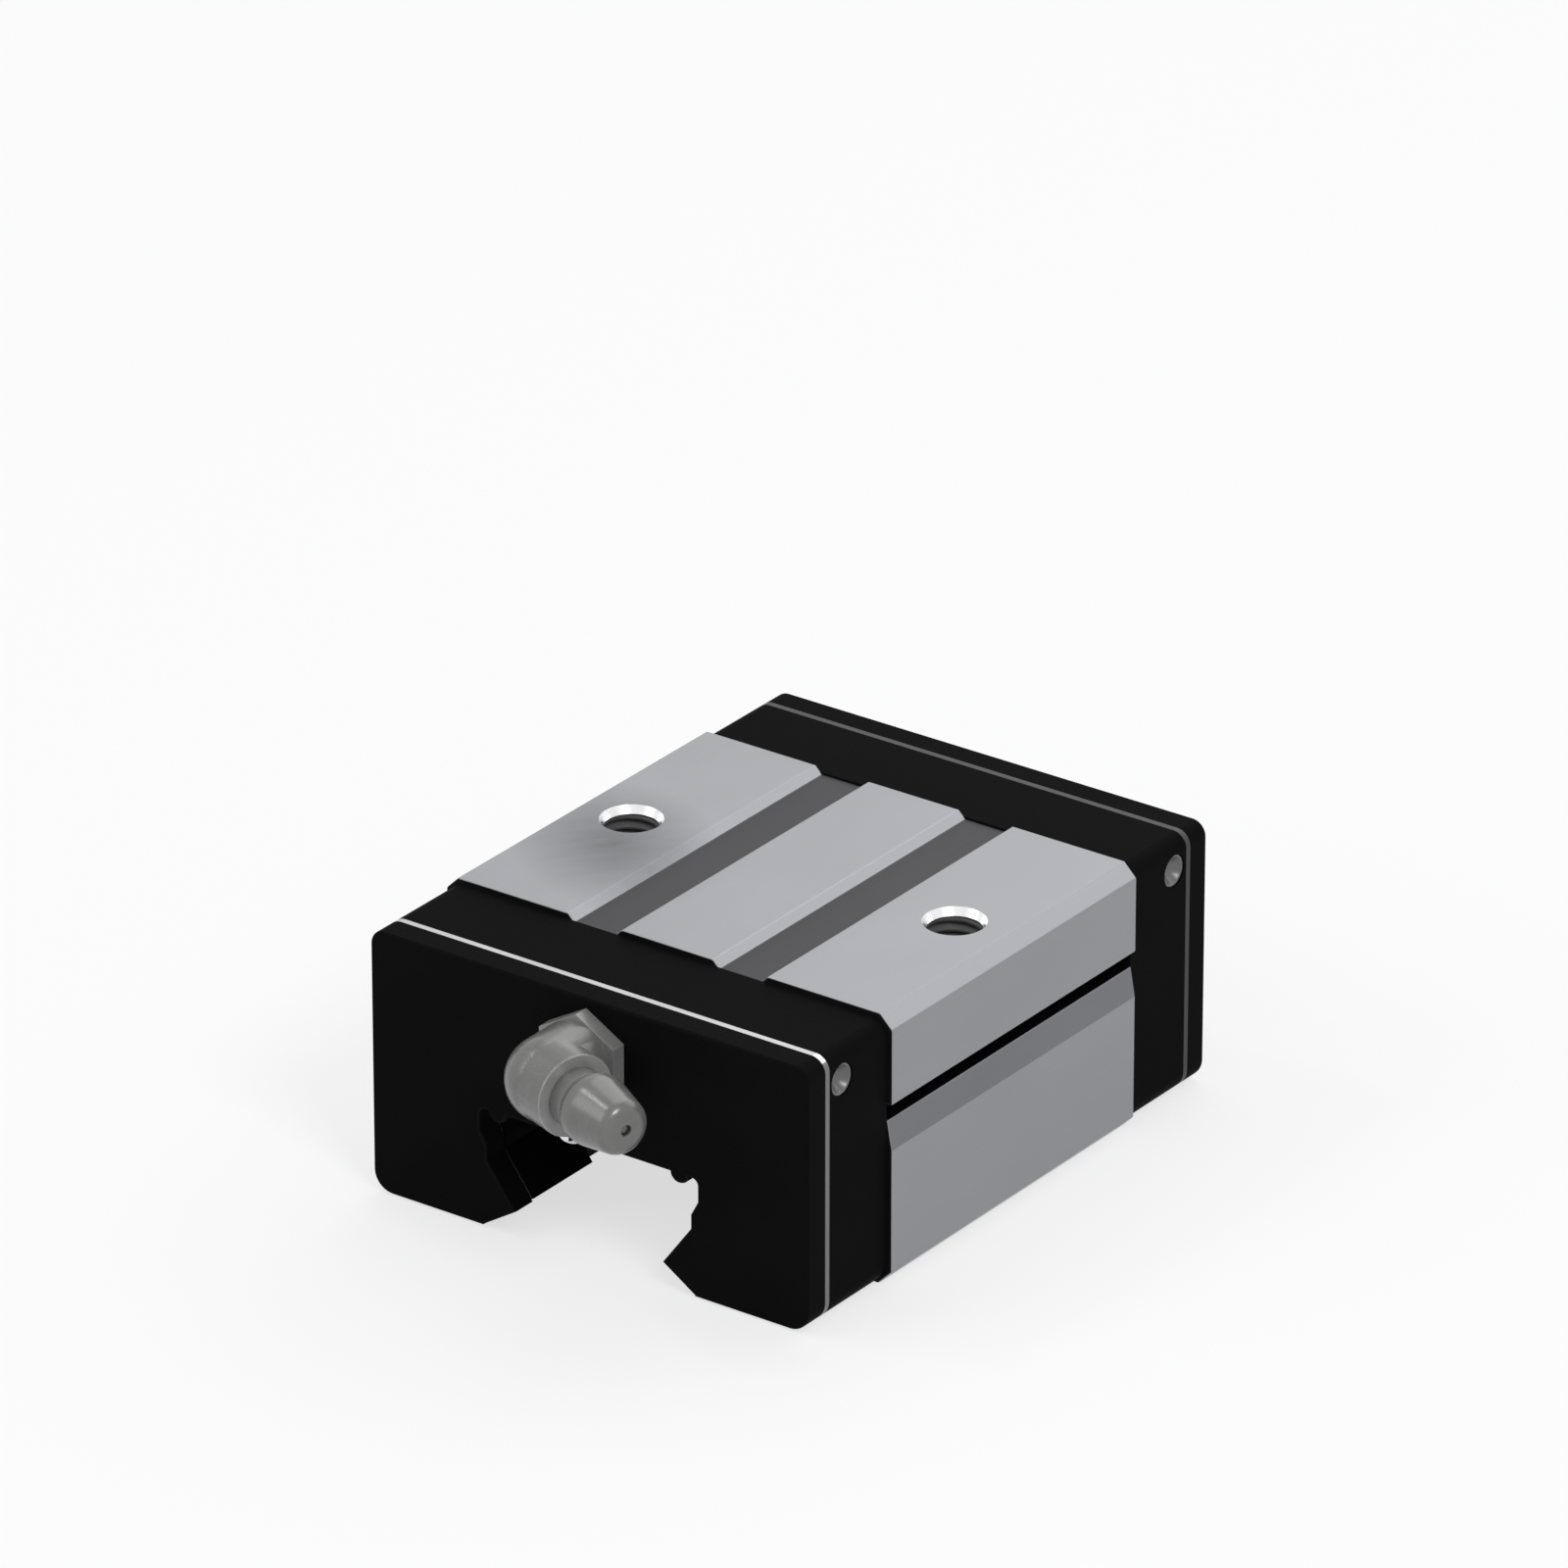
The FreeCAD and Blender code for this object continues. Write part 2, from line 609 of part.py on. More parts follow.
def side_port_plug():
    """Plug in the right side of the rear cap, with a dished face."""
    radius = SIDE_PORT_RADIUS - FIT_GAP
    profile = [
        (0, PLUG_RECESS - SIDE_PORT_LENGTH),
        (radius, PLUG_RECESS - SIDE_PORT_LENGTH),
        (radius, -PLUG_RECESS),
        (radius - PLUG_RIM, -PLUG_RECESS),
        (PLUG_FLOOR_RADIUS, -PLUG_RECESS - PLUG_DISH_DEPTH),
        (0, -PLUG_RECESS - PLUG_DISH_DEPTH),
    ]
    return turned(profile, at(END_HALF_WIDTH, SIDE_PORT_Y, -SIDE_PORT_DEPTH), ALONG_X)


def rear_port_screw():
    base = at(0, HALF_LENGTH + PORT_FLOOR + FIT_GAP, -PORT_DEPTH)
    end = at(0, SEAL_FACE_Y - PORT_SCREW_RECESS, -PORT_DEPTH)
    socket = hexagon(PORT_SCREW_FLATS, end - ALONG_Y * PORT_SCREW_SOCKET_DEPTH, ALONG_Y, SEAL_THICKNESS)
    return rod(PORT_RADIUS - FIT_GAP, base, end).cut(socket)


# Angled grease nipple on the front end

def nozzle_axis():
    angle = math.radians(NIPPLE_ANGLE)
    return at(math.sin(angle), -math.cos(angle), 0)


def elbow_centre():
    return at(0, -SEAL_FACE_Y - ELBOW_REACH, -PORT_DEPTH)


def nozzle_place(distance):
    return elbow_centre() + nozzle_axis() * distance


def nipple_body():
    """Hexagon with a threaded stem behind it and a domed elbow before it, whose boss takes the head."""
    seat = at(0, -SEAL_FACE_Y, -PORT_DEPTH)
    stem_end = at(0, -HALF_LENGTH - PORT_FLOOR - FIT_GAP, -PORT_DEPTH)
    dome = ELBOW_REACH + ELBOW_RADIUS
    elbow_profile = [(0, 0), (ELBOW_RADIUS, 0), (ELBOW_RADIUS, dome, ELBOW_RADIUS), (0, dome)]
    elbow = turned(elbow_profile, seat, FORWARD)
    flats = hexagon(HEX_FLATS, seat, FORWARD, HEX_LENGTH)
    stem = rod(PORT_RADIUS - FIT_GAP, stem_end, seat)
    boss = rod(BOSS_RADIUS, elbow_centre(), nozzle_place(BOSS_LENGTH))
    oil_way = rod(OIL_HOLE_RADIUS, stem_end, elbow_centre() + FORWARD * CROSS_WAY_RADIUS)
    cross_way = rod(CROSS_WAY_RADIUS, elbow_centre(), nozzle_place(BOSS_LENGTH))
    socket_floor = nozzle_place(BOSS_LENGTH - SPIGOT_LENGTH - FIT_GAP)
    socket = rod(SPIGOT_RADIUS + FIT_GAP, socket_floor, nozzle_place(BOSS_LENGTH + CUT_PAST))
    return elbow.fuse([flats, stem, boss]).cut([oil_way, cross_way, socket])


def seat_slope():
    """Half angle of the cone that the check ball seats on."""
    return math.atan2(CHECK_BALL_RADIUS + CHECK_BALL_GAP - ORIFICE_RADIUS, SEAT_LENGTH)


def nozzle_stations():
    """Distances along the nozzle: boss face, neck end, head start, head end, tip, seat end, seat start."""
    face = BOSS_LENGTH
    neck_end = face + NECK_LENGTH
    head_start = neck_end + HEAD_FLARE
    head_end = head_start + HEAD_STRAIGHT
    tip = head_end + TIP_TAPER
    seat_end = tip - ORIFICE_LENGTH
    return face, neck_end, head_start, head_end, tip, seat_end, seat_end - SEAT_LENGTH


def nipple_head():
    face, neck_end, head_start, head_end, tip, seat_end, seat_start = nozzle_stations()
    root = face - SPIGOT_LENGTH
    bore = CHECK_BALL_RADIUS + CHECK_BALL_GAP
    profile = [
        (bore, root),
        (SPIGOT_RADIUS, root),
        (SPIGOT_RADIUS, face),
        (NECK_RADIUS, face),
        (NECK_RADIUS, neck_end),
        (HEAD_RADIUS, head_start),
        (HEAD_RADIUS, head_end, HEAD_ROUNDING),
        (TIP_RADIUS, tip, TIP_ROUNDING),
        (ORIFICE_RADIUS, tip),
        (ORIFICE_RADIUS, seat_end),
        (bore, seat_start),
    ]
    return turned(profile, elbow_centre(), nozzle_axis())


def check_ball_distance():
    """Where the ball's centre stands when it rests in the seat, just clear of the cone."""
    seat_end = nozzle_stations()[5]
    slope = seat_slope()
    apex = seat_end + ORIFICE_RADIUS / math.tan(slope)
    return apex - (CHECK_BALL_RADIUS + CHECK_BALL_SEAT_GAP) / math.sin(slope)


def nipple_check_ball():
    return Part.makeSphere(CHECK_BALL_RADIUS, nozzle_place(check_ball_distance()))


def nipple_spring():
    """Coil spring from the floor of the socket to the back of the check ball."""
    start = BOSS_LENGTH - SPIGOT_LENGTH + SPRING_WIRE_RADIUS
    end = check_ball_distance() - CHECK_BALL_RADIUS - SPRING_WIRE_RADIUS - FIT_GAP
    radius = CHECK_BALL_RADIUS - SPRING_WIRE_RADIUS
    height = end - start
    helix = Part.makeHelix(height / SPRING_COILS, height, radius)
    section = Part.Wire([Part.makeCircle(SPRING_WIRE_RADIUS, at(radius, 0, 0), ALONG_Y)])
    spring = Part.Wire(helix).makePipeShell([section], True, True)
    spring.Placement = FreeCAD.Placement(nozzle_place(start), FreeCAD.Rotation(UP, nozzle_axis()))
    return spring


# All pieces, under the names that they are kept by

def right_and_left(name, shape):
    """The piece on the right and its mirror image on the left. The name has {} for the side."""
    return {name.format("right"): shape, name.format("left"): left_of(shape)}


def rear_and_front(pieces):
    """Rear pieces and their mirror images at the front. The names have {} for the end."""
    both = {}
    for name, shape in pieces.items():
        both[name.format("rear")] = shape
        both[name.format("front")] = front_of(shape)
    return both


def all_pieces():
    pieces = {"block_body": block_body(), "top_ball_retainer": retainer(top_retainer_outline)}
    pieces.update(right_and_left("{}_side_retainer", retainer(side_retainer_outline)))
    pieces.update(right_and_left("{}_lower_retainer", retainer(lower_retainer_outline)))
    pieces.update(right_and_left("{}_bottom_seal", bottom_seal()))
    for row, (row_x, row_z) in ROWS.items():
        pieces.update(right_and_left(row + "_{}_balls", ball_circuit(row_x, row_z)))
    ends = {
        "{}_end_cap": end_cap(),
        "{}_end_plate": end_plate(),
        "{}_end_seal": end_seal(),
        "{}_cap_screws": cap_screws(),
    }
    ends.update(right_and_left("{{}}_{}_return_guide", return_guide()))
    ends.update(right_and_left("{{}}_{}_port_plug", side_port_plug()))
    pieces.update(rear_and_front(ends))
    pieces["rear_port_screw"] = rear_port_screw()
    pieces["nipple_body"] = nipple_body()
    pieces["nipple_head"] = nipple_head()
    pieces["nipple_check_ball"] = nipple_check_ball()
    pieces["nipple_spring"] = nipple_spring()
    return pieces


os.makedirs("parts", exist_ok=True)
for node, shape in all_pieces().items():
    shape.exportStep("parts/" + node + ".step")
    print(node, len(shape.Solids), "solids,", round(shape.Volume, 1), "mm3, valid", shape.isValid())
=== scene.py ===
import math

import bmesh
import bpy
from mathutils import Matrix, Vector


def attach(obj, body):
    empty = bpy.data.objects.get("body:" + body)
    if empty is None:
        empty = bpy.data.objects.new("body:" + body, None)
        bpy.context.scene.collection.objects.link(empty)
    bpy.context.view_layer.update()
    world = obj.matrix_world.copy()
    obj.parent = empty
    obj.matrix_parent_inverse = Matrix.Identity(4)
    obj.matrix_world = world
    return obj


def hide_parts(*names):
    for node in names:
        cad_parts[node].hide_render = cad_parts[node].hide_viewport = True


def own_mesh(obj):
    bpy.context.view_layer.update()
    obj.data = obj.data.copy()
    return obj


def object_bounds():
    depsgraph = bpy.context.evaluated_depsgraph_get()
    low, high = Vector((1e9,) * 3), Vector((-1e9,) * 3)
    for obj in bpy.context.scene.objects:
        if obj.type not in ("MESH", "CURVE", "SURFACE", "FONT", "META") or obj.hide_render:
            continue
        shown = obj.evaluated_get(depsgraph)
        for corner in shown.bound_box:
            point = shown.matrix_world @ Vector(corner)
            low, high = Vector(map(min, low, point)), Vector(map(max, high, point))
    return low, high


# Looks of a short two-hole linear guide block, in metres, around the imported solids.
# X runs across the block, Y along its travel and Z up. The grease nipple is on the front end, towards -Y.

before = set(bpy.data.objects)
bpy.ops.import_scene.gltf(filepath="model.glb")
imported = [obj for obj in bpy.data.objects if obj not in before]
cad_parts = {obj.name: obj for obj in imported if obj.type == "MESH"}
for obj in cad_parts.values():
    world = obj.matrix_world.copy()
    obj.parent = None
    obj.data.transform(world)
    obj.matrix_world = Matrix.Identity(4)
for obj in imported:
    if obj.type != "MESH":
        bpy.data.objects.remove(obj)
solid_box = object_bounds()

MM = 0.001

# Joining the loose triangles of a copied solid, and rounding its edges
MERGE_DISTANCE = 0.002 * MM
FLAT_ANGLE = math.radians(0.6)
SHARP_ANGLE = math.radians(33)
ROUNDING_STEPS = 2
WEAR_MARK = "edge_wear"

# How near counts as being at a place, and the part of a face's normal that counts as facing one way
NEAR = 0.03 * MM
FACING = 0.9

# Steel body: its edges, and where its finishes change
BODY_ROUNDING = 0.12 * MM
GROOVE_FLOOR = -0.72 * MM
SLIT_TOP = -8.5 * MM
SLIT_FOOT = -10.1 * MM
SLIT_FLOOR = 22.0 * MM
BAND_FOOT = -12.9 * MM

# The channel and its ball rows stay within this reach of the middle and below this height
CHANNEL_REACH = 13.6 * MM
CHANNEL_CEILING = -9.5 * MM

# Tapped holes in the top, with shares of the thread's pitch for its crests and flanks
HOLE_X = 17.5 * MM
HOLE_MOUTH_RADIUS = 2.9 * MM
HOLE_CORE_RADIUS = 2.5 * MM
HOLE_BEVEL_DEPTH = 0.75 * MM
HOLE_MOUTH_EDGE = 0.03 * MM
HOLE_WALL_START = -0.003 * MM
HOLE_WALL_DEPTH = 7.98 * MM
THREAD_OUTER_RADIUS = 2.84 * MM
THREAD_PITCH = 1.0 * MM
THREAD_RUN_IN = 0.35 * MM
THREAD_RUN_OUT = 1.2 * MM
THREAD_CREST_SHARE = 0.1
THREAD_FLANK_SHARE = 0.42
THREAD_STEPS = 72
THREAD_ROWS_PER_PITCH = 12

# End pieces: the outside edges of a cap lie past these limits, and the seals have rounded lips
CAP_ROUNDING = 0.1 * MM
CAP_SIDE_LIMIT = 22.8 * MM
CAP_TOP_LIMIT = -0.7 * MM
SEAL_FACE = 30.2 * MM
LIP_ROUNDING = 0.22 * MM
LIP_SIDE_LIMIT = 21.8 * MM
SHEET_TOP_FACING = 0.7

# Ball circuits, with the place of each row across the block and in height
BALL_RADIUS = 1.9845 * MM
BALL_COUNT = 23
BALL_SEGMENTS = 28
BALL_RINGS = 16
TURN_RADIUS = 3.8 * MM
TURN_STEPS = 32
ROW_LENGTH = 37.0 * MM
BALL_ROWS = {"upper": (9.8 * MM, -13.45 * MM), "lower": (11.4 * MM, -21.9 * MM)}

# Plugs in the side ports of the caps
SIDE_PORT_RADIUS = 1.55 * MM
PLUG_RADIUS = 1.5 * MM
PLUG_LENGTH = 2.7 * MM
PLUG_RIM = 0.16 * MM
PLUG_DISH = 1.0 * MM
PLUG_FACE_X = 23.35 * MM
PLUG_Y = 25.15 * MM
PLUG_Z = -3.4 * MM
PLUG_STEPS = 48
PLUG_WALL_ROWS = 3
PLUG_FACE_ROWS = 22

# Grease nipple, with distances along its nozzle from the middle of the elbow
NOZZLE_AXIS = Vector((0.9396926, -0.3420201, 0))
NOZZLE_TURN = math.atan2(NOZZLE_AXIS.y, NOZZLE_AXIS.x)
ELBOW_CENTRE = Vector((0, -35.55, -6.0)) * MM
HEX_FRONT = -31.75 * MM
HEX_EDGE_LIMIT = 3.98 * MM
HEX_ROUNDING = 0.04 * MM
BOSS_FACE = 4.05 * MM
BOSS_ROUNDING = 0.14 * MM

# Head of the nipple: radii, distances, and an outline of radius, distance and rounding at each corner
BORE_RADIUS = 1.25 * MM
SPIGOT_RADIUS = 1.9 * MM
NECK_RADIUS = 2.75 * MM
HEAD_RADIUS = 3.25 * MM
TIP_RADIUS = 2.4 * MM
ORIFICE_RADIUS = 0.5 * MM
SPIGOT_BACK = 2.35 * MM
NECK_END = 5.8 * MM
HEAD_START = 6.7 * MM
HEAD_END = 7.6 * MM
SEAT_BACK = 11.05 * MM
ORIFICE_BACK = 11.65 * MM
TIP_FACE = 12.0 * MM
HEAD_OUTLINE = (
    (BORE_RADIUS, SPIGOT_BACK, 0),
    (SPIGOT_RADIUS, SPIGOT_BACK, 0),
    (SPIGOT_RADIUS, BOSS_FACE, 0),
    (NECK_RADIUS, BOSS_FACE, 0.1 * MM),
    (NECK_RADIUS, NECK_END, 0.5 * MM),
    (HEAD_RADIUS, HEAD_START, 0.4 * MM),
    (HEAD_RADIUS, HEAD_END, 4.0 * MM),
    (TIP_RADIUS, TIP_FACE, 1.2 * MM),
    (ORIFICE_RADIUS, TIP_FACE, 0.12 * MM),
    (ORIFICE_RADIUS, ORIFICE_BACK, 0),
    (BORE_RADIUS, SEAT_BACK, 0),
)
HEAD_STEPS = 96
ARC_STEPS = 10

# Spring of the nipple
SPRING_START = 2.5 * MM
SPRING_END = 9.19 * MM
SPRING_RADIUS = 1.0 * MM
SPRING_COILS = 6.0
SPRING_STEPS = 32
WIRE_RADIUS = 0.15 * MM
WIRE_STEPS = 12

# Rear port screw, of which the outer end shows
PORT_SCREW_ROUNDING = 0.12 * MM
PORT_SCREW_END = SEAL_FACE - 1.0 * MM

# Grain of the finishes, as a number of spots for each metre along X, Y and Z, and how it shows
NOISE_LOW = 0.3
NOISE_HIGH = 0.7
NOISE_ROUGHNESS = 0.55
WEAR_GRAIN = (900, 900, 900)
WEAR_PATCHES = (0.35, 1.0)
STEEL_CLOUDS = (95, 60, 95)
STEEL_LINE_SHARE = 0.45
STEEL_RELIEF = 0.35
COAT_CLOUDS = (130, 130, 130)
COAT_NOISE = (0.7, 1.3)
COAT_WEAR = 0.7
COAT_RELIEF = 0.3
ZINC_CLOUDS = (420, 420, 420)
ZINC_LINE_SHARE = 0.4
ZINC_LINE_DEPTH = 0.012 * MM
ZINC_WEAR = 0.8
ZINC_RELIEF = 0.3
ALONG_LINES = (7000, 90, 7000)
SHEET_LINES = (1200, 9000, 1200)

# Darker smear on the top, beside one hole
DARK_SMEAR_PLACE = (-0.0156, -0.005, 0.0)
DARK_SMEAR_TURN = (0, 0, math.radians(-40))
DARK_SMEAR_REACH = (0.0135, 0.0095, 0.014)
DARK_SMEAR_GRAIN = (700, 160, 700)
DARK_SMEAR_STREAKS = (0.8, 1.0)
DARK_SMEAR_FADE = 0.5
DARK_SMEAR_TONE = 0.3

# View and light. Each softbox has a place, a width, a height and watts.
CAMERA_PLACE = (0.6269439, -0.8672949, 0.521023)
CAMERA_AIM = (-0.0107142, 0.0136254, 0.0)
CAMERA_LENS = 311.434
CAMERA_SENSOR = 36.0
FLOOR_SIZE = 6.0
FLOOR_GAP = 0.05 * MM
FLOOR_COLOUR = (0.85, 0.85, 0.86)
FLOOR_WHITE_SHARE = 0.68
WORLD_LIGHT = 0.46
WORLD_SEEN = 1.0
WHITE = (1, 1, 1)
SOFTBOXES = {
    "overhead": ((-0.15, 0.35, 0.7), 0.5, 0.5, 1.1),
    "back_strip": ((0.1, 0.8, 0.55), 1.4, 0.5, 2.5),
    "left_fill": ((-0.5, -0.6, 0.5), 0.5, 0.5, 1.5),
    "right_fill": ((0.65, -0.35, 0.68), 0.3, 0.3, 3.6),
    "left_key": ((-0.5, -0.18, 0.73), 0.1, 0.1, 0.6),
}


# Node helpers, for shaders and for shapes

def node(tree, kind, inputs=None, **settings):
    """Add a node. Its inputs are values, or sockets of other nodes to join to."""
    made = tree.nodes.new(kind)
    for name, value in settings.items():
        setattr(made, name, value)
    for name, value in (inputs or {}).items():
        if isinstance(value, bpy.types.NodeSocket):
            tree.links.new(value, made.inputs[name])
        else:
            made.inputs[name].default_value = value
    return made


def combine(tree, first, second, operation):
    """Apply an operation that takes two values."""
    return node(tree, "ShaderNodeMath", {0: first, 1: second}, operation=operation).outputs[0]


def changed(tree, value, operation):
    """Apply an operation that takes one value."""
    return node(tree, "ShaderNodeMath", {0: value}, operation=operation).outputs[0]


def blend(tree, first, second, first_share):
    """Add two values, each by its share of the whole."""
    part = combine(tree, first, first_share, "MULTIPLY")
    rest = combine(tree, second, 1 - first_share, "MULTIPLY")
    return combine(tree, part, rest, "ADD")


def spread(tree, value, low, high, low_in=NOISE_LOW, high_in=NOISE_HIGH):
    """Carry a value from one range over to another, and keep it within that."""
    inputs = {"Value": value, "From Min": low_in, "From Max": high_in, "To Min": low, "To Max": high}
    return node(tree, "ShaderNodeMapRange", inputs).outputs["Result"]


def vector(tree, **parts):
    return node(tree, "ShaderNodeCombineXYZ", parts).outputs["Vector"]


# Shader helpers

def object_spot(tree):
    return node(tree, "ShaderNodeTexCoord").outputs["Object"]


def mapped(tree, spot, kind, **changes):
    """Move, turn and scale a spot, or with the kind TEXTURE the grid that it is measured on."""
    return node(tree, "ShaderNodeMapping", {"Vector": spot, **changes}, vector_type=kind).outputs["Vector"]


def grain(tree, scale, detail=3.0, turn=(0, 0, 0)):
    """Noise of the object's own coordinates. A scale that differs by axis draws it out into lines."""
    turned = mapped(tree, object_spot(tree), "TEXTURE", Rotation=turn)
    drawn = mapped(tree, turned, "POINT", Scale=scale)
    noise = {"Vector": drawn, "Scale": 1.0, "Detail": detail, "Roughness": NOISE_ROUGHNESS}
    return node(tree, "ShaderNodeTexNoise", noise).outputs["Fac"]


def opaque(colour):
    """A colour with full alpha. A socket stays as it is."""
    return colour if isinstance(colour, bpy.types.NodeSocket) else (*colour, 1)


def tones(tree, share, first, second):
    """Mix two colours. The numbers are the colour sockets, because other sockets have the same names."""
    inputs = {0: share, 6: opaque(first), 7: opaque(second)}
    return node(tree, "ShaderNodeMix", inputs, data_type="RGBA").outputs[2]


def worn_edges(tree, amount):
    """Share of wear on the rounded edges, broken up so that it isn't even."""
    mark = node(tree, "ShaderNodeAttribute", attribute_name=WEAR_MARK).outputs["Fac"]
    patches = spread(tree, grain(tree, WEAR_GRAIN), *WEAR_PATCHES)
    return combine(tree, combine(tree, mark, patches, "MULTIPLY"), amount, "MULTIPLY")


def relief(tree, height, depth, strength):
    inputs = {"Height": height, "Distance": depth, "Strength": strength}
    return node(tree, "ShaderNodeBump", inputs).outputs["Normal"]


def dark_smear(tree, amount):
    """Share of a soft darker smear beside one hole, drawn out towards the front."""
    spot = object_spot(tree)
    # A soft darker patch with streaks, painted into the colour of the top
    place = mapped(tree, spot, "TEXTURE", Location=DARK_SMEAR_PLACE, Rotation=DARK_SMEAR_TURN, Scale=DARK_SMEAR_REACH)
    smear = node(tree, "ShaderNodeTexGradient", {"Vector": place}, gradient_type="QUADRATIC_SPHERE")
    streaks = spread(tree, grain(tree, DARK_SMEAR_GRAIN, turn=DARK_SMEAR_TURN), *DARK_SMEAR_STREAKS)
    shaped = combine(tree, smear.outputs["Fac"], DARK_SMEAR_FADE, "POWER")
    return combine(tree, combine(tree, shaped, streaks, "MULTIPLY"), amount, "MULTIPLY")


def empty_material(name):
    material = bpy.data.materials.new(name)
    material.use_nodes = True
    material.node_tree.nodes.clear()
    return material


def finish_material(name, make):
    material = empty_material(name)
    tree = material.node_tree
    node(tree, "ShaderNodeOutputMaterial", {"Surface": make(tree).outputs["BSDF"]})
    return material


# Finishes

def steel_finish(name, dark, light, edge, metallic, roughness, lines, depth, wear=0.6, smear_share=0.0):
    """Machined steel: cutting or grinding lines, slow clouds of tone, edges in their own tone, and a darker
    smear.
    """
    def make(tree):
        line = grain(tree, lines, detail=4.0)
        cloud = grain(tree, STEEL_CLOUDS, detail=2.0)
        tone = blend(tree, line, cloud, STEEL_LINE_SHARE)
        colour = tones(tree, spread(tree, tone, 0.0, 1.0), dark, light)
        colour = tones(tree, worn_edges(tree, wear), colour, edge)
        if smear_share:
            colour = tones(tree, dark_smear(tree, smear_share), colour, [DARK_SMEAR_TONE * part for part in dark])
        return node(tree, "ShaderNodeBsdfPrincipled", {
            "Base Color": colour, "Metallic": metallic, "Roughness": spread(tree, tone, *roughness),
            "Normal": relief(tree, line, depth, STEEL_RELIEF),
        })
    return finish_material(name, make)


def black_coat(name, dark, light, edge, shine, roughness, pimple, depth):
    """Black plastic and rubber, and the black painted shade on the body's end faces and in its slit: fine
    even grain, slow clouds, edges rubbed a little paler.
    """
    def make(tree):
        pimples = grain(tree, (pimple, pimple, pimple), detail=2.0)
        cloud = grain(tree, COAT_CLOUDS, detail=3.0)
        colour = tones(tree, spread(tree, cloud, 0.0, 1.0), dark, light)
        colour = tones(tree, worn_edges(tree, COAT_WEAR), colour, edge)
        rough = spread(tree, combine(tree, pimples, cloud, "ADD"), *roughness, *COAT_NOISE)
        return node(tree, "ShaderNodeBsdfPrincipled", {
            "Base Color": colour, "Roughness": rough, "Specular IOR Level": shine,
            "Normal": relief(tree, pimples, depth, COAT_RELIEF),
        })
    return finish_material(name, make)


def zinc_plate(name, dark, light, edge, metallic, roughness, turn, lines):
    """Zinc plate over machined steel: tool lines about or along one axis, cloudy plating, paler edges."""
    def make(tree):
        line = grain(tree, lines, detail=3.0, turn=turn)
        cloud = grain(tree, ZINC_CLOUDS, detail=4.0)
        tone = blend(tree, line, cloud, ZINC_LINE_SHARE)
        colour = tones(tree, spread(tree, tone, 0.0, 1.0), dark, light)
        colour = tones(tree, worn_edges(tree, ZINC_WEAR), colour, edge)
        return node(tree, "ShaderNodeBsdfPrincipled", {
            "Base Color": colour, "Metallic": metallic, "Roughness": spread(tree, tone, *roughness),
            "Normal": relief(tree, line, ZINC_LINE_DEPTH, ZINC_RELIEF),
        })
    return finish_material(name, make)


# Top and sides of the body. Its edge tone is darker than its steel: painted shade that evens out the
# brighter rounded edges
ground_steel = steel_finish(
    "ground_steel", dark=(0.268, 0.271, 0.289), light=(0.296, 0.299, 0.319), edge=(0.25, 0.253, 0.27),
    metallic=0.85, roughness=(0.36, 0.44), lines=ALONG_LINES, depth=0.004 * MM, wear=0.5, smear_share=0.85)
# Sloped band under the slit: ground steel, darkened below the sides as painted shade
band_steel_painted_shade = steel_finish(
    "band_steel_painted_shade", dark=(0.165, 0.167, 0.18), light=(0.195, 0.197, 0.21), edge=(0.3, 0.3, 0.31),
    metallic=0.85, roughness=(0.38, 0.48), lines=ALONG_LINES, depth=0.006 * MM)
# Groove floors and undersides: milled steel, darkened far below the ground faces as painted shade
milled_steel_painted_shade = steel_finish(
    "milled_steel_painted_shade", dark=(0.034, 0.034, 0.037), light=(0.046, 0.046, 0.05), edge=(0.12, 0.12, 0.125),
    metallic=0.8, roughness=(0.42, 0.55), lines=(2600, 60, 2600), depth=0.012 * MM)
# Countersinks of the holes: cut steel, made near white as a painted highlight
hole_bevel_steel_painted_highlight = steel_finish(
    "hole_bevel_steel_painted_highlight", dark=(0.78, 0.78, 0.79), light=(0.88, 0.88, 0.89), edge=(0.92, 0.92, 0.92),
    metallic=0.9, roughness=(0.2, 0.3), lines=(3000, 3000, 3000), depth=0.004 * MM)
# Threaded walls of the holes: steel darkened as painted shade inside the holes
thread_steel_painted_shade = steel_finish(
    "thread_steel_painted_shade", dark=(0.06, 0.06, 0.063), light=(0.085, 0.085, 0.088), edge=(0.2, 0.2, 0.2),
    metallic=0.3, roughness=(0.55, 0.66), lines=(2000, 2000, 6000), depth=0.006 * MM)
raceway_steel = steel_finish(
    "raceway_steel", dark=(0.42, 0.42, 0.43), light=(0.5, 0.5, 0.51), edge=(0.6, 0.6, 0.6),
    metallic=0.95, roughness=(0.16, 0.26), lines=ALONG_LINES, depth=0.003 * MM)
# End faces of the steel body: ground steel drawn near black, as painted shade
end_face_painted_shade = black_coat(
    "end_face_painted_shade", dark=(0.005, 0.005, 0.0055), light=(0.008, 0.008, 0.0085), edge=(0.03, 0.03, 0.03),
    shine=0.03, roughness=(0.5, 0.62), pimple=4200, depth=0.008 * MM)
screw_oxide = steel_finish(
    "screw_oxide", dark=(0.03, 0.03, 0.032), light=(0.05, 0.05, 0.052), edge=(0.2, 0.2, 0.2),
    metallic=0.6, roughness=(0.4, 0.52), lines=(2500, 2500, 2500), depth=0.006 * MM)
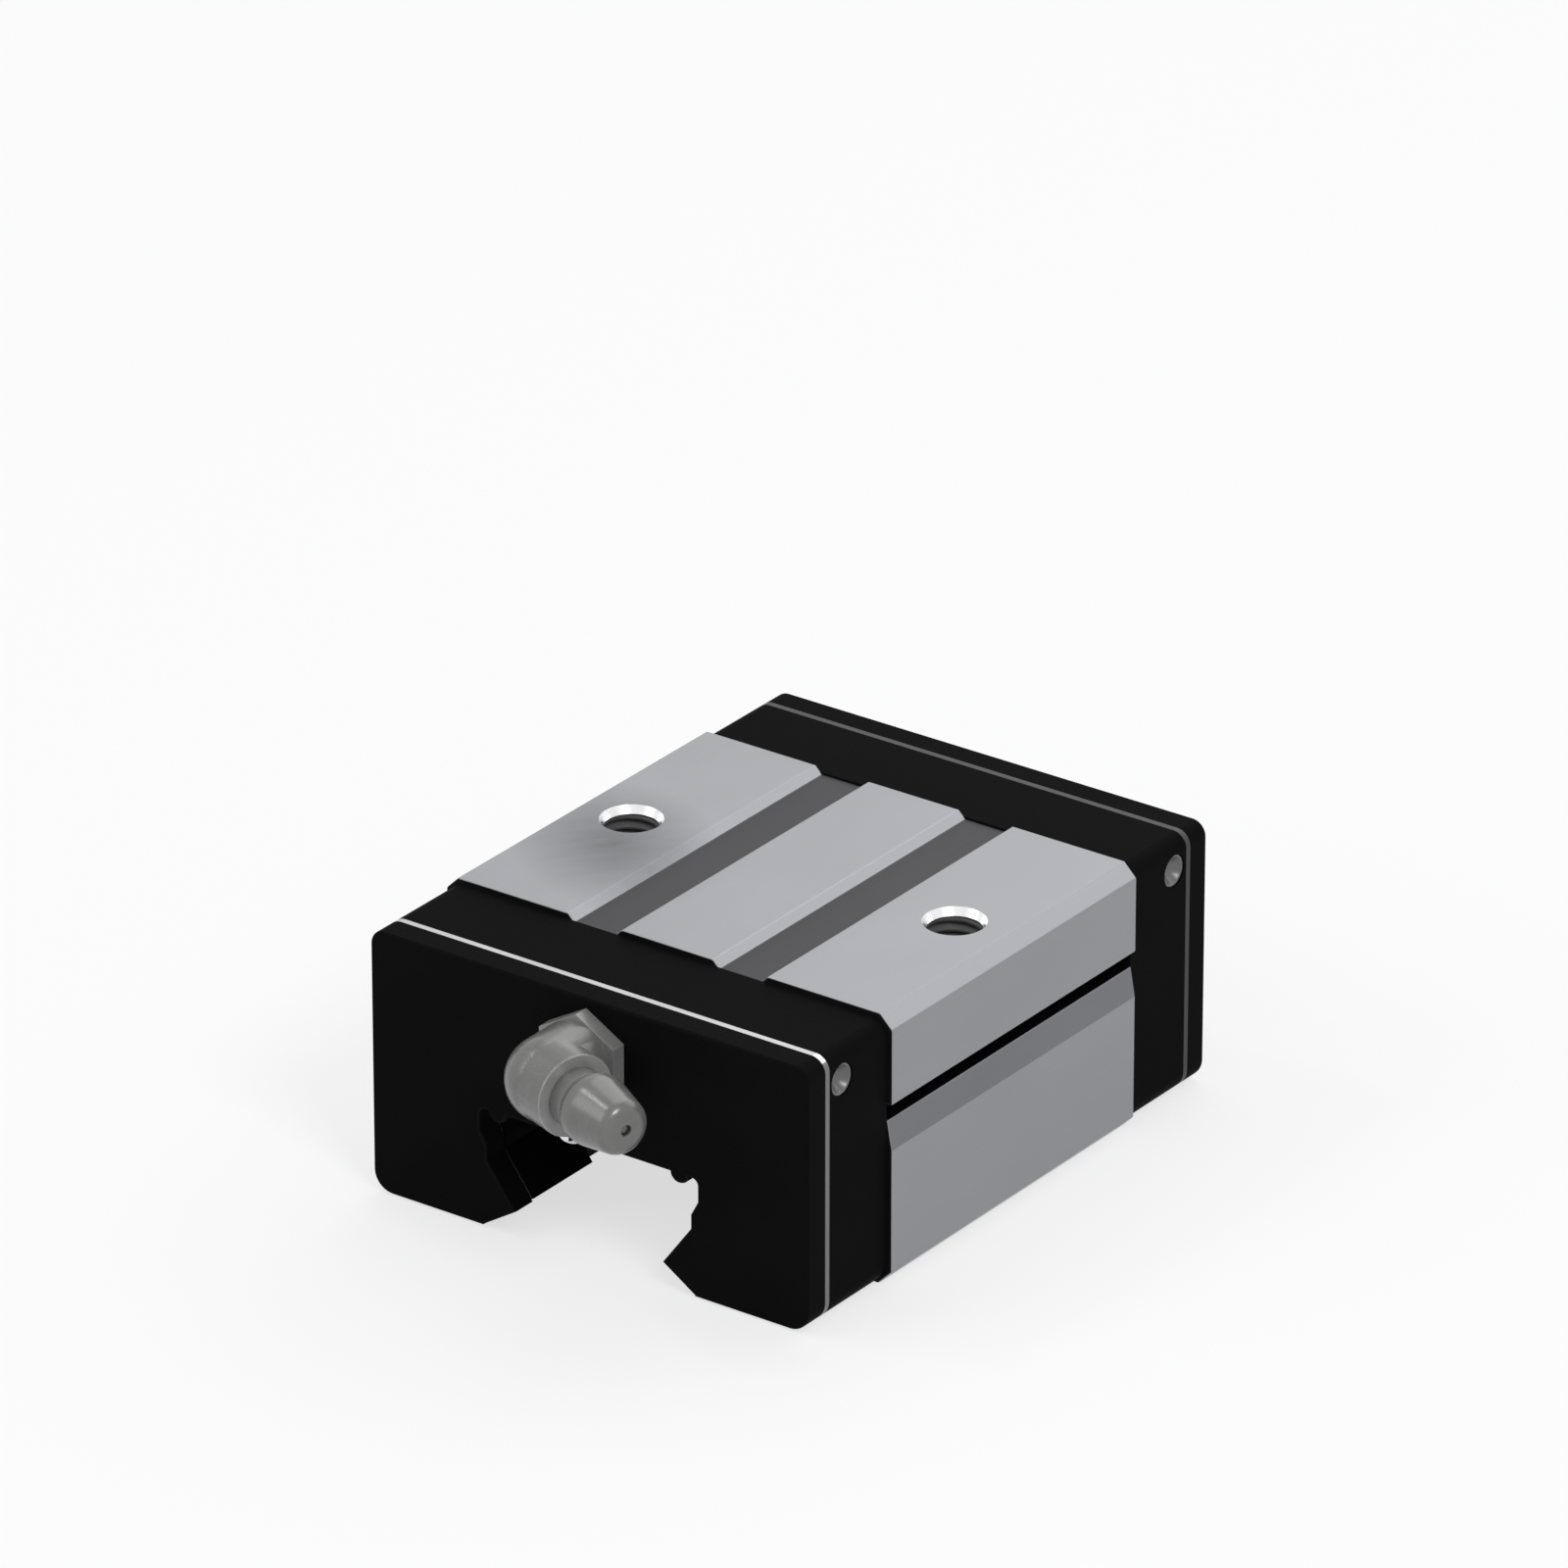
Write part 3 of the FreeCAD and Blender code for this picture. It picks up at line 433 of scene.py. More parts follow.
# End plate sheet in three tones of one steel: a painted highlight for the front plate's top faces, painted
# shade for its side faces, deeper painted shade for the whole rear plate
sheet_painted_highlight = steel_finish(
    "sheet_painted_highlight", dark=(0.44, 0.44, 0.445), light=(0.53, 0.53, 0.535), edge=(0.65, 0.65, 0.65),
    metallic=0.95, roughness=(0.24, 0.34), lines=SHEET_LINES, depth=0.003 * MM)
sheet_painted_shade = steel_finish(
    "sheet_painted_shade", dark=(0.15, 0.15, 0.152), light=(0.2, 0.2, 0.203), edge=(0.3, 0.3, 0.3),
    metallic=0.9, roughness=(0.36, 0.48), lines=SHEET_LINES, depth=0.003 * MM)
sheet_painted_deep_shade = steel_finish(
    "sheet_painted_deep_shade", dark=(0.045, 0.045, 0.046), light=(0.065, 0.065, 0.066), edge=(0.12, 0.12, 0.12),
    metallic=0.9, roughness=(0.4, 0.52), lines=SHEET_LINES, depth=0.003 * MM)
ball_steel = steel_finish(
    "ball_steel", dark=(0.66, 0.66, 0.68), light=(0.74, 0.74, 0.76), edge=(0.8, 0.8, 0.8),
    metallic=1.0, roughness=(0.05, 0.12), lines=(1500, 1500, 1500), depth=0.0005 * MM)
# Check ball and spring: greased steel, darkened further as painted shade inside the nozzle
greased_steel_painted_shade = steel_finish(
    "greased_steel_painted_shade", dark=(0.1, 0.1, 0.1), light=(0.15, 0.15, 0.15), edge=(0.2, 0.2, 0.2),
    metallic=0.7, roughness=(0.3, 0.45), lines=(1500, 1500, 1500), depth=0.002 * MM)
plug_zinc = steel_finish(
    "plug_zinc", dark=(0.11, 0.11, 0.11), light=(0.15, 0.15, 0.15), edge=(0.3, 0.3, 0.3),
    metallic=0.3, roughness=(0.28, 0.36), lines=(2200, 2200, 2200), depth=0.006 * MM)
cap_plastic = black_coat(
    "cap_plastic", dark=(0.004, 0.004, 0.0042), light=(0.0055, 0.0055, 0.0058), edge=(0.014, 0.014, 0.0145),
    shine=0.006, roughness=(0.42, 0.56), pimple=3800, depth=0.012 * MM)
seal_rubber = black_coat(
    "seal_rubber", dark=(0.0038, 0.0038, 0.0039), light=(0.005, 0.005, 0.0051), edge=(0.012, 0.012, 0.012),
    shine=0.012, roughness=(0.55, 0.7), pimple=5200, depth=0.01 * MM)
# Inside of the slit: near black, a painted shadow where the slit is in shade
slit_painted_shadow = black_coat(
    "slit_painted_shadow", dark=(0.0015, 0.0015, 0.002), light=(0.003, 0.003, 0.004), edge=(0.01, 0.01, 0.01),
    shine=0.02, roughness=(0.6, 0.75), pimple=3000, depth=0.01 * MM)
guide_plastic = black_coat(
    "guide_plastic", dark=(0.02, 0.02, 0.022), light=(0.03, 0.03, 0.032), edge=(0.06, 0.06, 0.06),
    shine=0.2, roughness=(0.4, 0.5), pimple=3000, depth=0.008 * MM)
body_zinc = zinc_plate(
    "body_zinc", dark=(0.13, 0.13, 0.128), light=(0.165, 0.165, 0.162), edge=(0.25, 0.25, 0.245),
    metallic=0.2, roughness=(0.22, 0.3), turn=(0, 0, 0), lines=(900, 5200, 900))
nozzle_zinc = zinc_plate(
    "nozzle_zinc", dark=(0.13, 0.13, 0.128), light=(0.165, 0.165, 0.162), edge=(0.25, 0.25, 0.245),
    metallic=0.2, roughness=(0.22, 0.3), turn=(0, 0, NOZZLE_TURN), lines=(5200, 900, 900))
# Boss face of the nipple: cut zinc, paler than the rest as painted light on a face turned to a lamp
cut_zinc_painted_light = zinc_plate(
    "cut_zinc_painted_light", dark=(0.25, 0.25, 0.248), light=(0.32, 0.32, 0.317), edge=(0.36, 0.36, 0.355),
    metallic=0.25, roughness=(0.3, 0.4), turn=(0, 0, NOZZLE_TURN), lines=(900, 3600, 3600))
# Hexagon of the nipple: drawn zinc bar, paler as painted light against the shade that the elbow casts on it
drawn_zinc_painted_light = zinc_plate(
    "drawn_zinc_painted_light", dark=(0.21, 0.21, 0.208), light=(0.26, 0.26, 0.257), edge=(0.33, 0.33, 0.325),
    metallic=0.25, roughness=(0.26, 0.36), turn=(0, 0, 0), lines=(3200, 300, 3200))


# Mesh helpers

def copied_shape(name):
    """A solid's mesh with its triangles joined, its flat faces whole and its edges unrounded."""
    shape = bmesh.new()
    shape.from_mesh(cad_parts[name].data)
    bmesh.ops.remove_doubles(shape, verts=shape.verts, dist=MERGE_DISTANCE)
    bmesh.ops.dissolve_limit(shape, angle_limit=FLAT_ANGLE, verts=shape.verts, edges=shape.edges)
    shape.faces.layers.float.new(WEAR_MARK)
    return shape


def is_sharp(edge):
    return edge.is_manifold and edge.calc_face_angle() > SHARP_ANGLE


def middle(edge):
    return (edge.verts[0].co + edge.verts[1].co) / 2


def round_edges(shape, width, chosen):
    """Round the sharp edges that are chosen, and mark the new faces for wear."""
    edges = [edge for edge in shape.edges if is_sharp(edge) and chosen(middle(edge))]
    made = bmesh.ops.bevel(
        shape, geom=edges, offset=width, offset_type="OFFSET", segments=ROUNDING_STEPS, profile=0.5,
        affect="EDGES", clamp_overlap=False, loop_slide=True)
    wear = shape.faces.layers.float[WEAR_MARK]
    for face in made["faces"]:
        face[wear] = 1.0


def hand_over(piece, replaced):
    """Let a piece move with the block, in the place of the solids that it stands for."""
    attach(piece, "block")
    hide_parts(*replaced)


def add_object(name, data):
    made = bpy.data.objects.new(name, data)
    bpy.context.scene.collection.objects.link(made)
    return made


def add_piece(name, shape, materials, replaced):
    """Make a finished piece of a shape, without the solid's own normals, which no longer fit it."""
    for face in shape.faces:
        face.smooth = True
    for edge in shape.edges:
        edge.smooth = not is_sharp(edge)
    mesh = bpy.data.meshes.new(name)
    shape.to_mesh(mesh)
    shape.free()
    stale = mesh.attributes.get("custom_normal")
    if stale:
        mesh.attributes.remove(stale)
    for material in materials:
        mesh.materials.append(material)
    piece = add_object(name, mesh)
    even = piece.modifiers.new("even_shading", "WEIGHTED_NORMAL")
    even.keep_sharp = True
    hand_over(piece, [replaced])


def made_by_nodes(name, sizes, build, material):
    """Build a tree of Geometry Nodes with named inputs, run it once, and keep the mesh that it makes."""
    tree = bpy.data.node_groups.new(name, "GeometryNodeTree")
    tree.interface.new_socket("Geometry", in_out="OUTPUT", socket_type="NodeSocketGeometry")
    kinds = {int: "NodeSocketInt", float: "NodeSocketFloat", tuple: "NodeSocketVector"}
    for label, value in sizes.items():
        tree.interface.new_socket(label, in_out="INPUT", socket_type=kinds[type(value)])
    entry = node(tree, "NodeGroupInput")
    shape = build(tree, {label: entry.outputs[label] for label in sizes})
    real = node(tree, "GeometryNodeRealizeInstances", {"Geometry": shape}).outputs["Geometry"]
    dressed = node(tree, "GeometryNodeSetMaterial", {"Geometry": real, "Material": material})
    node(tree, "NodeGroupOutput", {"Geometry": dressed.outputs["Geometry"]})
    piece = add_object(name, bpy.data.meshes.new(name))
    rule = piece.modifiers.new(name, "NODES")
    rule.node_group = tree
    for socket in tree.interface.items_tree:
        if socket.in_out == "INPUT":
            rule[socket.identifier] = sizes[socket.name]
    graph = bpy.context.evaluated_depsgraph_get()
    mesh = bpy.data.meshes.new_from_object(piece.evaluated_get(graph), depsgraph=graph)
    piece.modifiers.remove(rule)
    piece.data = mesh
    return piece


def unit_grid(tree, across, down):
    """A flat grid, and how far each of its points is across it and down it, as shares from 0 to 1."""
    grid = node(tree, "GeometryNodeMeshGrid", {
        "Size X": 1.0, "Size Y": 1.0, "Vertices X": across + 1, "Vertices Y": down + 1})
    spot = node(tree, "GeometryNodeInputPosition").outputs["Position"]
    parts = node(tree, "ShaderNodeSeparateXYZ", {"Vector": spot})
    share_across = combine(tree, parts.outputs["X"], 0.5, "ADD")
    share_down = combine(tree, parts.outputs["Y"], 0.5, "ADD")
    return grid.outputs["Mesh"], share_across, share_down


def smoothed(tree, shape):
    return node(tree, "GeometryNodeSetShadeSmooth", {"Geometry": shape}).outputs["Geometry"]


def moved(tree, shape, **changes):
    return node(tree, "GeometryNodeTransform", {"Geometry": shape, **changes}).outputs["Geometry"]


def wrapped_round(tree, grid, turn_share, radius, height):
    """Bend a grid round the Z axis and close its seam."""
    angle = combine(tree, turn_share, 2 * math.pi, "MULTIPLY")
    x = combine(tree, radius, changed(tree, angle, "COSINE"), "MULTIPLY")
    y = combine(tree, radius, changed(tree, angle, "SINE"), "MULTIPLY")
    spot = vector(tree, X=x, Y=y, Z=height)
    bent = node(tree, "GeometryNodeSetPosition", {"Geometry": grid, "Position": spot}).outputs["Geometry"]
    closed = node(tree, "GeometryNodeMergeByDistance", {"Geometry": bent, "Distance": MERGE_DISTANCE})
    return smoothed(tree, closed.outputs["Geometry"])


# Tapped holes

def bevel_radius(z):
    """Radius of the countersink at a height."""
    return HOLE_MOUTH_RADIUS + z * (HOLE_MOUTH_RADIUS - HOLE_CORE_RADIUS) / HOLE_BEVEL_DEPTH


def tapped_wall(tree, size):
    """Countersink and right-hand thread of one hole. Its rows follow the thread, for clean flanks."""
    core = size["Core radius"]
    mouth = size["Mouth radius"]
    rows = round((HOLE_WALL_DEPTH + THREAD_PITCH) / THREAD_PITCH * THREAD_ROWS_PER_PITCH)
    grid, turn_share, drop_share = unit_grid(tree, THREAD_STEPS, rows)
    drop = combine(tree, drop_share, rows / THREAD_ROWS_PER_PITCH, "MULTIPLY")

    # Height of each point: the first row is the mouth, the others run down from the countersink's foot
    foot = combine(tree, size["Depth"], -1.0, "MULTIPLY")
    bevel_foot = combine(tree, size["Bevel depth"], -1.0, "MULTIPLY")
    height = combine(tree, combine(tree, turn_share, drop, "SUBTRACT"), size["Pitch"], "MULTIPLY")
    height = node(tree, "ShaderNodeClamp", {"Value": height, "Min": foot, "Max": bevel_foot}).outputs[0]
    first_row = combine(tree, drop_share, 0.5 / rows, "LESS_THAN")
    height = spread(tree, first_row, height, -HOLE_MOUTH_EDGE, 0.0, 1.0)

    # Radius of each point: the groove, faded out at both ends, or the countersink where that is wider
    from_crest = changed(tree, combine(tree, changed(tree, drop, "FRACT"), 0.5, "SUBTRACT"), "ABSOLUTE")
    cut = spread(tree, from_crest, 0.0, 1.0, THREAD_CREST_SHARE, THREAD_FLANK_SHARE)
    run_out_top = combine(tree, foot, size["Run-out"], "ADD")
    run_in_foot = combine(tree, bevel_foot, size["Run-in"], "SUBTRACT")
    cut = combine(tree, cut, spread(tree, height, 0.0, 1.0, foot, run_out_top), "MULTIPLY")
    cut = combine(tree, cut, spread(tree, height, 1.0, 0.0, run_in_foot, bevel_foot), "MULTIPLY")
    full_cut = combine(tree, size["Outer radius"], core, "SUBTRACT")
    thread = combine(tree, core, combine(tree, cut, full_cut, "MULTIPLY"), "ADD")
    slope = combine(tree, combine(tree, mouth, core, "SUBTRACT"), size["Bevel depth"], "DIVIDE")
    bevel = combine(tree, mouth, combine(tree, height, slope, "MULTIPLY"), "ADD")
    radius = combine(tree, thread, bevel, "MAXIMUM")

    wall = wrapped_round(tree, grid, turn_share, radius, height)
    return moved(tree, wall, Translation=vector(tree, X=size["Place"]))


def in_hole(point, x):
    return math.hypot(point.x - x, point.y) < HOLE_MOUTH_RADIUS + NEAR


def tap_hole(shape, x):
    """Put the countersunk, threaded wall in the place of a plain one, and join it to both rims."""
    plain = []
    for face in shape.faces:
        centre = face.calc_center_median()
        if in_hole(centre, x) and -HOLE_WALL_DEPTH < centre.z < -NEAR:
            plain.append(face)
    bmesh.ops.delete(shape, geom=plain, context="FACES")
    wall = made_by_nodes("tapped_hole", {
        "Mouth radius": HOLE_MOUTH_RADIUS, "Core radius": HOLE_CORE_RADIUS,
        "Outer radius": THREAD_OUTER_RADIUS, "Bevel depth": HOLE_BEVEL_DEPTH, "Depth": HOLE_WALL_DEPTH,
        "Pitch": THREAD_PITCH, "Run-in": THREAD_RUN_IN, "Run-out": THREAD_RUN_OUT, "Place": x,
    }, tapped_wall, thread_steel_painted_shade)
    shape.from_mesh(wall.data)
    bpy.data.objects.remove(wall)
    for high, low in ((NEAR, -2 * HOLE_MOUTH_EDGE), (-HOLE_WALL_DEPTH + NEAR, -HOLE_WALL_DEPTH - NEAR)):
        rims = [edge for edge in shape.edges if edge.is_boundary and in_hole(middle(edge), x)]
        rims = [edge for edge in rims if low < middle(edge).z < high]
        bmesh.ops.bridge_loops(shape, edges=rims)
    bmesh.ops.recalc_face_normals(shape, faces=shape.faces)


# Steel body

BODY_FINISHES = {
    "ground": ground_steel,
    "band": band_steel_painted_shade,
    "milled": milled_steel_painted_shade,
    "hole_bevel": hole_bevel_steel_painted_highlight,
    "hole_wall": thread_steel_painted_shade,
    "slit": slit_painted_shadow,
    "channel": raceway_steel,
    "end": end_face_painted_shade,
}


def at_holes(point):
    return in_hole(point, HOLE_X) or in_hole(point, -HOLE_X)


def body_zone(face):
    """Name of the finish that a face of the body has."""
    centre = face.calc_center_median()
    normal = face.normal
    side = abs(centre.x)
    if at_holes(centre) and centre.z < HOLE_WALL_START:
        from_axis = math.hypot(side - HOLE_X, centre.y)
        return "hole_bevel" if abs(from_axis - bevel_radius(centre.z)) < NEAR else "hole_wall"
    if side < CHANNEL_REACH and centre.z < CHANNEL_CEILING and abs(normal.y) < FACING:
        return "channel"
    # Groove floors take the milled finish, whose dark tone is painted shade
    if normal.z > FACING and SLIT_TOP < centre.z < GROOVE_FLOOR + NEAR:
        return "milled"
    # Faces in the slit take the painted shadow
    if side > SLIT_FLOOR - NEAR and SLIT_FOOT - NEAR < centre.z < SLIT_TOP + NEAR:
        return "slit"
    # End faces take the near black painted shade
    if abs(normal.y) > FACING:
        return "end"
    if BAND_FOOT < centre.z < SLIT_FOOT and side > SLIT_FLOOR:
        return "band"
    # Undersides take the milled finish too, painted shade under the body
    if normal.z < -FACING:
        return "milled"
    return "ground"


def body_edge(point):
    """Edges of the body's outside, but not those of the holes in its top and in its ends."""
    on_top = point.z > GROOVE_FLOOR - NEAR and not at_holes(point)
    return on_top or abs(point.x) > SLIT_FLOOR - NEAR


def steel_body():
    shape = copied_shape("block_body")
    round_edges(shape, BODY_ROUNDING, body_edge)
    for x in (HOLE_X, -HOLE_X):
        tap_hole(shape, x)
    names = list(BODY_FINISHES)
    for face in shape.faces:
        face.material_index = names.index(body_zone(face))
    add_piece("steel_body", shape, BODY_FINISHES.values(), "block_body")


# End pieces

def cap_edge(point):
    """Edges of a cap's outside, but not those of the ports in its sides."""
    at_port = math.hypot(abs(point.y) - PLUG_Y, point.z - PLUG_Z) < SIDE_PORT_RADIUS + NEAR
    return not at_port and (abs(point.x) > CAP_SIDE_LIMIT or point.z > CAP_TOP_LIMIT)


def lip_edge(point):
    """Edges round the opening, on the outer face of a seal."""
    at_opening = abs(point.x) < LIP_SIDE_LIMIT and point.z < CHANNEL_CEILING
    return at_opening and abs(point.y) > SEAL_FACE - NEAR


def end_pieces(end, top_sheet, side_sheet):
    cap = copied_shape(end + "_end_cap")
    round_edges(cap, CAP_ROUNDING, cap_edge)
    add_piece(end + "_cap_moulding", cap, [cap_plastic], end + "_end_cap")
    seal = copied_shape(end + "_end_seal")
    round_edges(seal, LIP_ROUNDING, lip_edge)
    add_piece(end + "_seal_moulding", seal, [seal_rubber], end + "_end_seal")
    plate = copied_shape(end + "_end_plate")
    for face in plate.faces:
        # Faces that look up get the top sheet and the others the side sheet: lit and shaded tones of one
        # plate, painted
        face.material_index = 0 if face.normal.z > SHEET_TOP_FACING else 1
    add_piece(end + "_plate_sheet", plate, [top_sheet, side_sheet], end + "_end_plate")


# Ball circuits

def ball_loop(tree, size):
    """Balls at even steps round a loop of two straight rows and two turns."""
    across = combine(tree, size["Turn radius"], 2.0, "MULTIPLY")
    along = combine(tree, size["Row length"], across, "ADD")
    corners = node(tree, "GeometryNodeCurvePrimitiveQuadrilateral", {"Width": across, "Height": along})
    loop = node(tree, "GeometryNodeFilletCurve", {
        "Curve": corners.outputs["Curve"], "Count": TURN_STEPS, "Radius": size["Turn radius"]}, mode="POLY")
    placed = moved(tree, loop.outputs["Curve"], Translation=size["Place"], Rotation=size["Turn"])
    spots = node(tree, "GeometryNodeResampleCurve", {
        "Curve": placed, "Count": size["Ball count"]}, mode="COUNT")
    sphere = node(tree, "GeometryNodeMeshUVSphere", {
        "Segments": BALL_SEGMENTS, "Rings": BALL_RINGS, "Radius": size["Ball radius"]})
    ball = smoothed(tree, sphere.outputs["Mesh"])
    return node(tree, "GeometryNodeInstanceOnPoints", {
        "Points": spots.outputs["Curve"], "Instance": ball}).outputs["Instances"]


def ball_circuits():
    sides = {"right": (1, (0.0, 0.0, math.pi)), "left": (-1, (math.pi, 0.0, 0.0))}
    for level, (row_x, row_z) in BALL_ROWS.items():
        for side, (sign, turn) in sides.items():
            circuit = made_by_nodes(level + "_" + side + "_ball_circuit", {
                "Turn radius": TURN_RADIUS, "Row length": ROW_LENGTH, "Ball radius": BALL_RADIUS,
                "Ball count": BALL_COUNT, "Place": (sign * (row_x + TURN_RADIUS), 0.0, row_z), "Turn": turn,
            }, ball_loop, ball_steel)
            hand_over(circuit, [level + "_" + side + "_balls"])


# Plugs in the sides of the caps

def dished_plugs(tree, size):
    """Turned plug with a rim and a dished face, set in both sides of both caps."""
    rows = 1 + PLUG_WALL_ROWS + PLUG_FACE_ROWS
    back = 1 / rows
    front = (1 + PLUG_WALL_ROWS) / rows
    grid, turn_share, run = unit_grid(tree, PLUG_STEPS, rows)
    from_axis = combine(
        tree, spread(tree, run, 0.0, 1.0, 0.0, back), spread(tree, run, 1.0, 0.0, front, 1.0), "MINIMUM")
    radius = combine(tree, size["Radius"], from_axis, "MULTIPLY")
    dish_radius = combine(tree, size["Radius"], size["Rim"], "SUBTRACT")
    out_share = combine(tree, combine(tree, radius, dish_radius, "DIVIDE"), 1.0, "MINIMUM")
    hollow = combine(tree, 1.0, combine(tree, out_share, 2.0, "POWER"), "SUBTRACT")
    dish = combine(tree, combine(tree, hollow, size["Dish depth"], "MULTIPLY"), -1.0, "MULTIPLY")
    wall = combine(tree, spread(tree, run, -1.0, 0.0, back, front), size["Length"], "MULTIPLY")
    on_face = combine(tree, run, front - back / 2, "GREATER_THAN")
    height = spread(tree, on_face, wall, dish, 0.0, 1.0)
    plug = wrapped_round(tree, grid, turn_share, radius, height)

    # One plug at each corner of a level grid, turned outward
    span_x = combine(tree, size["Face X"], 2.0, "MULTIPLY")
    span_y = combine(tree, size["Port Y"], 2.0, "MULTIPLY")
    ports = node(tree, "GeometryNodeMeshGrid", {
        "Size X": span_x, "Size Y": span_y, "Vertices X": 2, "Vertices Y": 2}).outputs["Mesh"]
    ports = moved(tree, ports, Translation=vector(tree, Z=size["Port Z"]))
    spot = node(tree, "GeometryNodeInputPosition").outputs["Position"]
    side = changed(tree, node(tree, "ShaderNodeSeparateXYZ", {"Vector": spot}).outputs["X"], "SIGN")
    outward = vector(tree, Y=combine(tree, side, math.pi / 2, "MULTIPLY"))
    return node(tree, "GeometryNodeInstanceOnPoints", {
        "Points": ports, "Instance": plug, "Rotation": outward}).outputs["Instances"]


def port_plugs():
    plugs = made_by_nodes("port_plugs", {
        "Radius": PLUG_RADIUS, "Length": PLUG_LENGTH, "Rim": PLUG_RIM, "Dish depth": PLUG_DISH,
        "Face X": PLUG_FACE_X, "Port Y": PLUG_Y, "Port Z": PLUG_Z,
    }, dished_plugs, plug_zinc)
    names = [end + "_" + side + "_port_plug" for end in ("front", "rear") for side in ("left", "right")]
    hand_over(plugs, names)


# Grease nipple

def rounded_outline(corners):
    """Closed outline of radius and distance, with its corners turned into arcs."""
    points = []
    for index, (radius, distance, rounding) in enumerate(corners):
        corner = Vector((radius, distance))
        if not rounding:
            points.append(corner)
            continue
        before = (Vector(corners[index - 1][:2]) - corner).normalized()
        after = (Vector(corners[(index + 1) % len(corners)][:2]) - corner).normalized()
        half = before.angle(after) / 2
        centre = corner + (before + after).normalized() * rounding / math.sin(half)
        start = corner + before * rounding / math.tan(half) - centre
        end = corner + after * rounding / math.tan(half) - centre
        turn = math.atan2(start.x * end.y - start.y * end.x, start.dot(end))
        for step in range(ARC_STEPS + 1):
            angle = turn * step / ARC_STEPS
            swung = Vector((
                start.x * math.cos(angle) - start.y * math.sin(angle),
                start.x * math.sin(angle) + start.y * math.cos(angle)))
            points.append(centre + swung)
    return points


def turned_shape(outline, base, axis, steps):
    """Turn a closed outline about an axis."""
    shape = bmesh.new()
    shape.faces.layers.float.new(WEAR_MARK)
    aim = axis.to_track_quat("Z", "Y")
    rings = []
    for step in range(steps):
        angle = 2 * math.pi * step / steps
        ring = []
        for point in outline:
            local = Vector((point.x * math.cos(angle), point.x * math.sin(angle), point.y))
            ring.append(shape.verts.new(base + aim @ local))
        rings.append(ring)
    count = len(outline)
    for step in range(steps):
        ring = rings[step]
        following = rings[(step + 1) % steps]
        for index in range(count):
            ahead = (index + 1) % count
            shape.faces.new((ring[index], following[index], following[ahead], ring[ahead]))
    bmesh.ops.recalc_face_normals(shape, faces=shape.faces)
    return shape


def along_nozzle(point):
    """Distance along the nozzle from the middle of the elbow."""
    return (point - ELBOW_CENTRE).dot(NOZZLE_AXIS)


def on_boss_face(point):
    return abs(along_nozzle(point) - BOSS_FACE) < NEAR


def boss_edge(point):
    """Outer edge of the boss that the head sits in."""
    from_axis = (point - ELBOW_CENTRE - along_nozzle(point) * NOZZLE_AXIS).length
    return on_boss_face(point) and from_axis > HEAD_RADIUS


def on_hexagon(point):
    return point.y > HEX_FRONT - NEAR


def hexagon_edge(point):
    """Edges of the hexagon, but not of the round parts that meet it."""
    return on_hexagon(point) and math.hypot(point.x, point.z - ELBOW_CENTRE.z) > HEX_EDGE_LIMIT


def nipple_elbow():
    elbow = copied_shape("nipple_body")
    round_edges(elbow, BOSS_ROUNDING, boss_edge)
    round_edges(elbow, HEX_ROUNDING, hexagon_edge)
    finishes = [body_zinc, cut_zinc_painted_light, drawn_zinc_painted_light]
    # The hexagon and the boss face get paler zinc, painted light
    for face in elbow.faces:
        centre = face.calc_center_median()
        if on_hexagon(centre):
            face.material_index = finishes.index(drawn_zinc_painted_light)
        elif on_boss_face(centre):
            face.material_index = finishes.index(cut_zinc_painted_light)
    add_piece("nipple_elbow", elbow, finishes, "nipple_body")


def nipple_nozzle():
    head = turned_shape(rounded_outline(HEAD_OUTLINE), ELBOW_CENTRE, NOZZLE_AXIS, HEAD_STEPS)
    add_piece("nipple_nozzle", head, [nozzle_zinc], "nipple_head")


def spring_coil(tree, size):
    """Coil of round wire along the nozzle."""
    height = combine(tree, size["End"], size["Start"], "SUBTRACT")
    path = node(tree, "GeometryNodeCurveSpiral", {
        "Resolution": SPRING_STEPS, "Rotations": size["Coils"], "Start Radius": size["Radius"],
        "End Radius": size["Radius"], "Height": height})
    wire = node(tree, "GeometryNodeCurvePrimitiveCircle", {
        "Resolution": WIRE_STEPS, "Radius": size["Wire radius"]})
    coil = node(tree, "GeometryNodeCurveToMesh", {
        "Curve": path.outputs["Curve"], "Profile Curve": wire.outputs["Curve"], "Fill Caps": True})
    smooth = smoothed(tree, coil.outputs["Mesh"])
    return moved(tree, smooth, Translation=size["Place"], Rotation=size["Turn"])


def nipple_coil():
    """Spring behind the check ball, along the nozzle."""
    foot = ELBOW_CENTRE + SPRING_START * NOZZLE_AXIS
    spring = made_by_nodes("nipple_coil", {
        "Start": SPRING_START, "End": SPRING_END, "Radius": SPRING_RADIUS, "Wire radius": WIRE_RADIUS,
        "Coils": SPRING_COILS, "Place": tuple(foot), "Turn": (0.0, math.pi / 2, NOZZLE_TURN),
    }, spring_coil, greased_steel_painted_shade)
    hand_over(spring, ["nipple_spring"])
    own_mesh(spring)


# Rear port screw

def port_screw_edge(point):
    return point.y > PORT_SCREW_END


def port_screw():
    screw = copied_shape("rear_port_screw")
    round_edges(screw, PORT_SCREW_ROUNDING, port_screw_edge)
    add_piece("port_socket_screw", screw, [screw_oxide], "rear_port_screw")


# Solids that keep their shape and get a finish

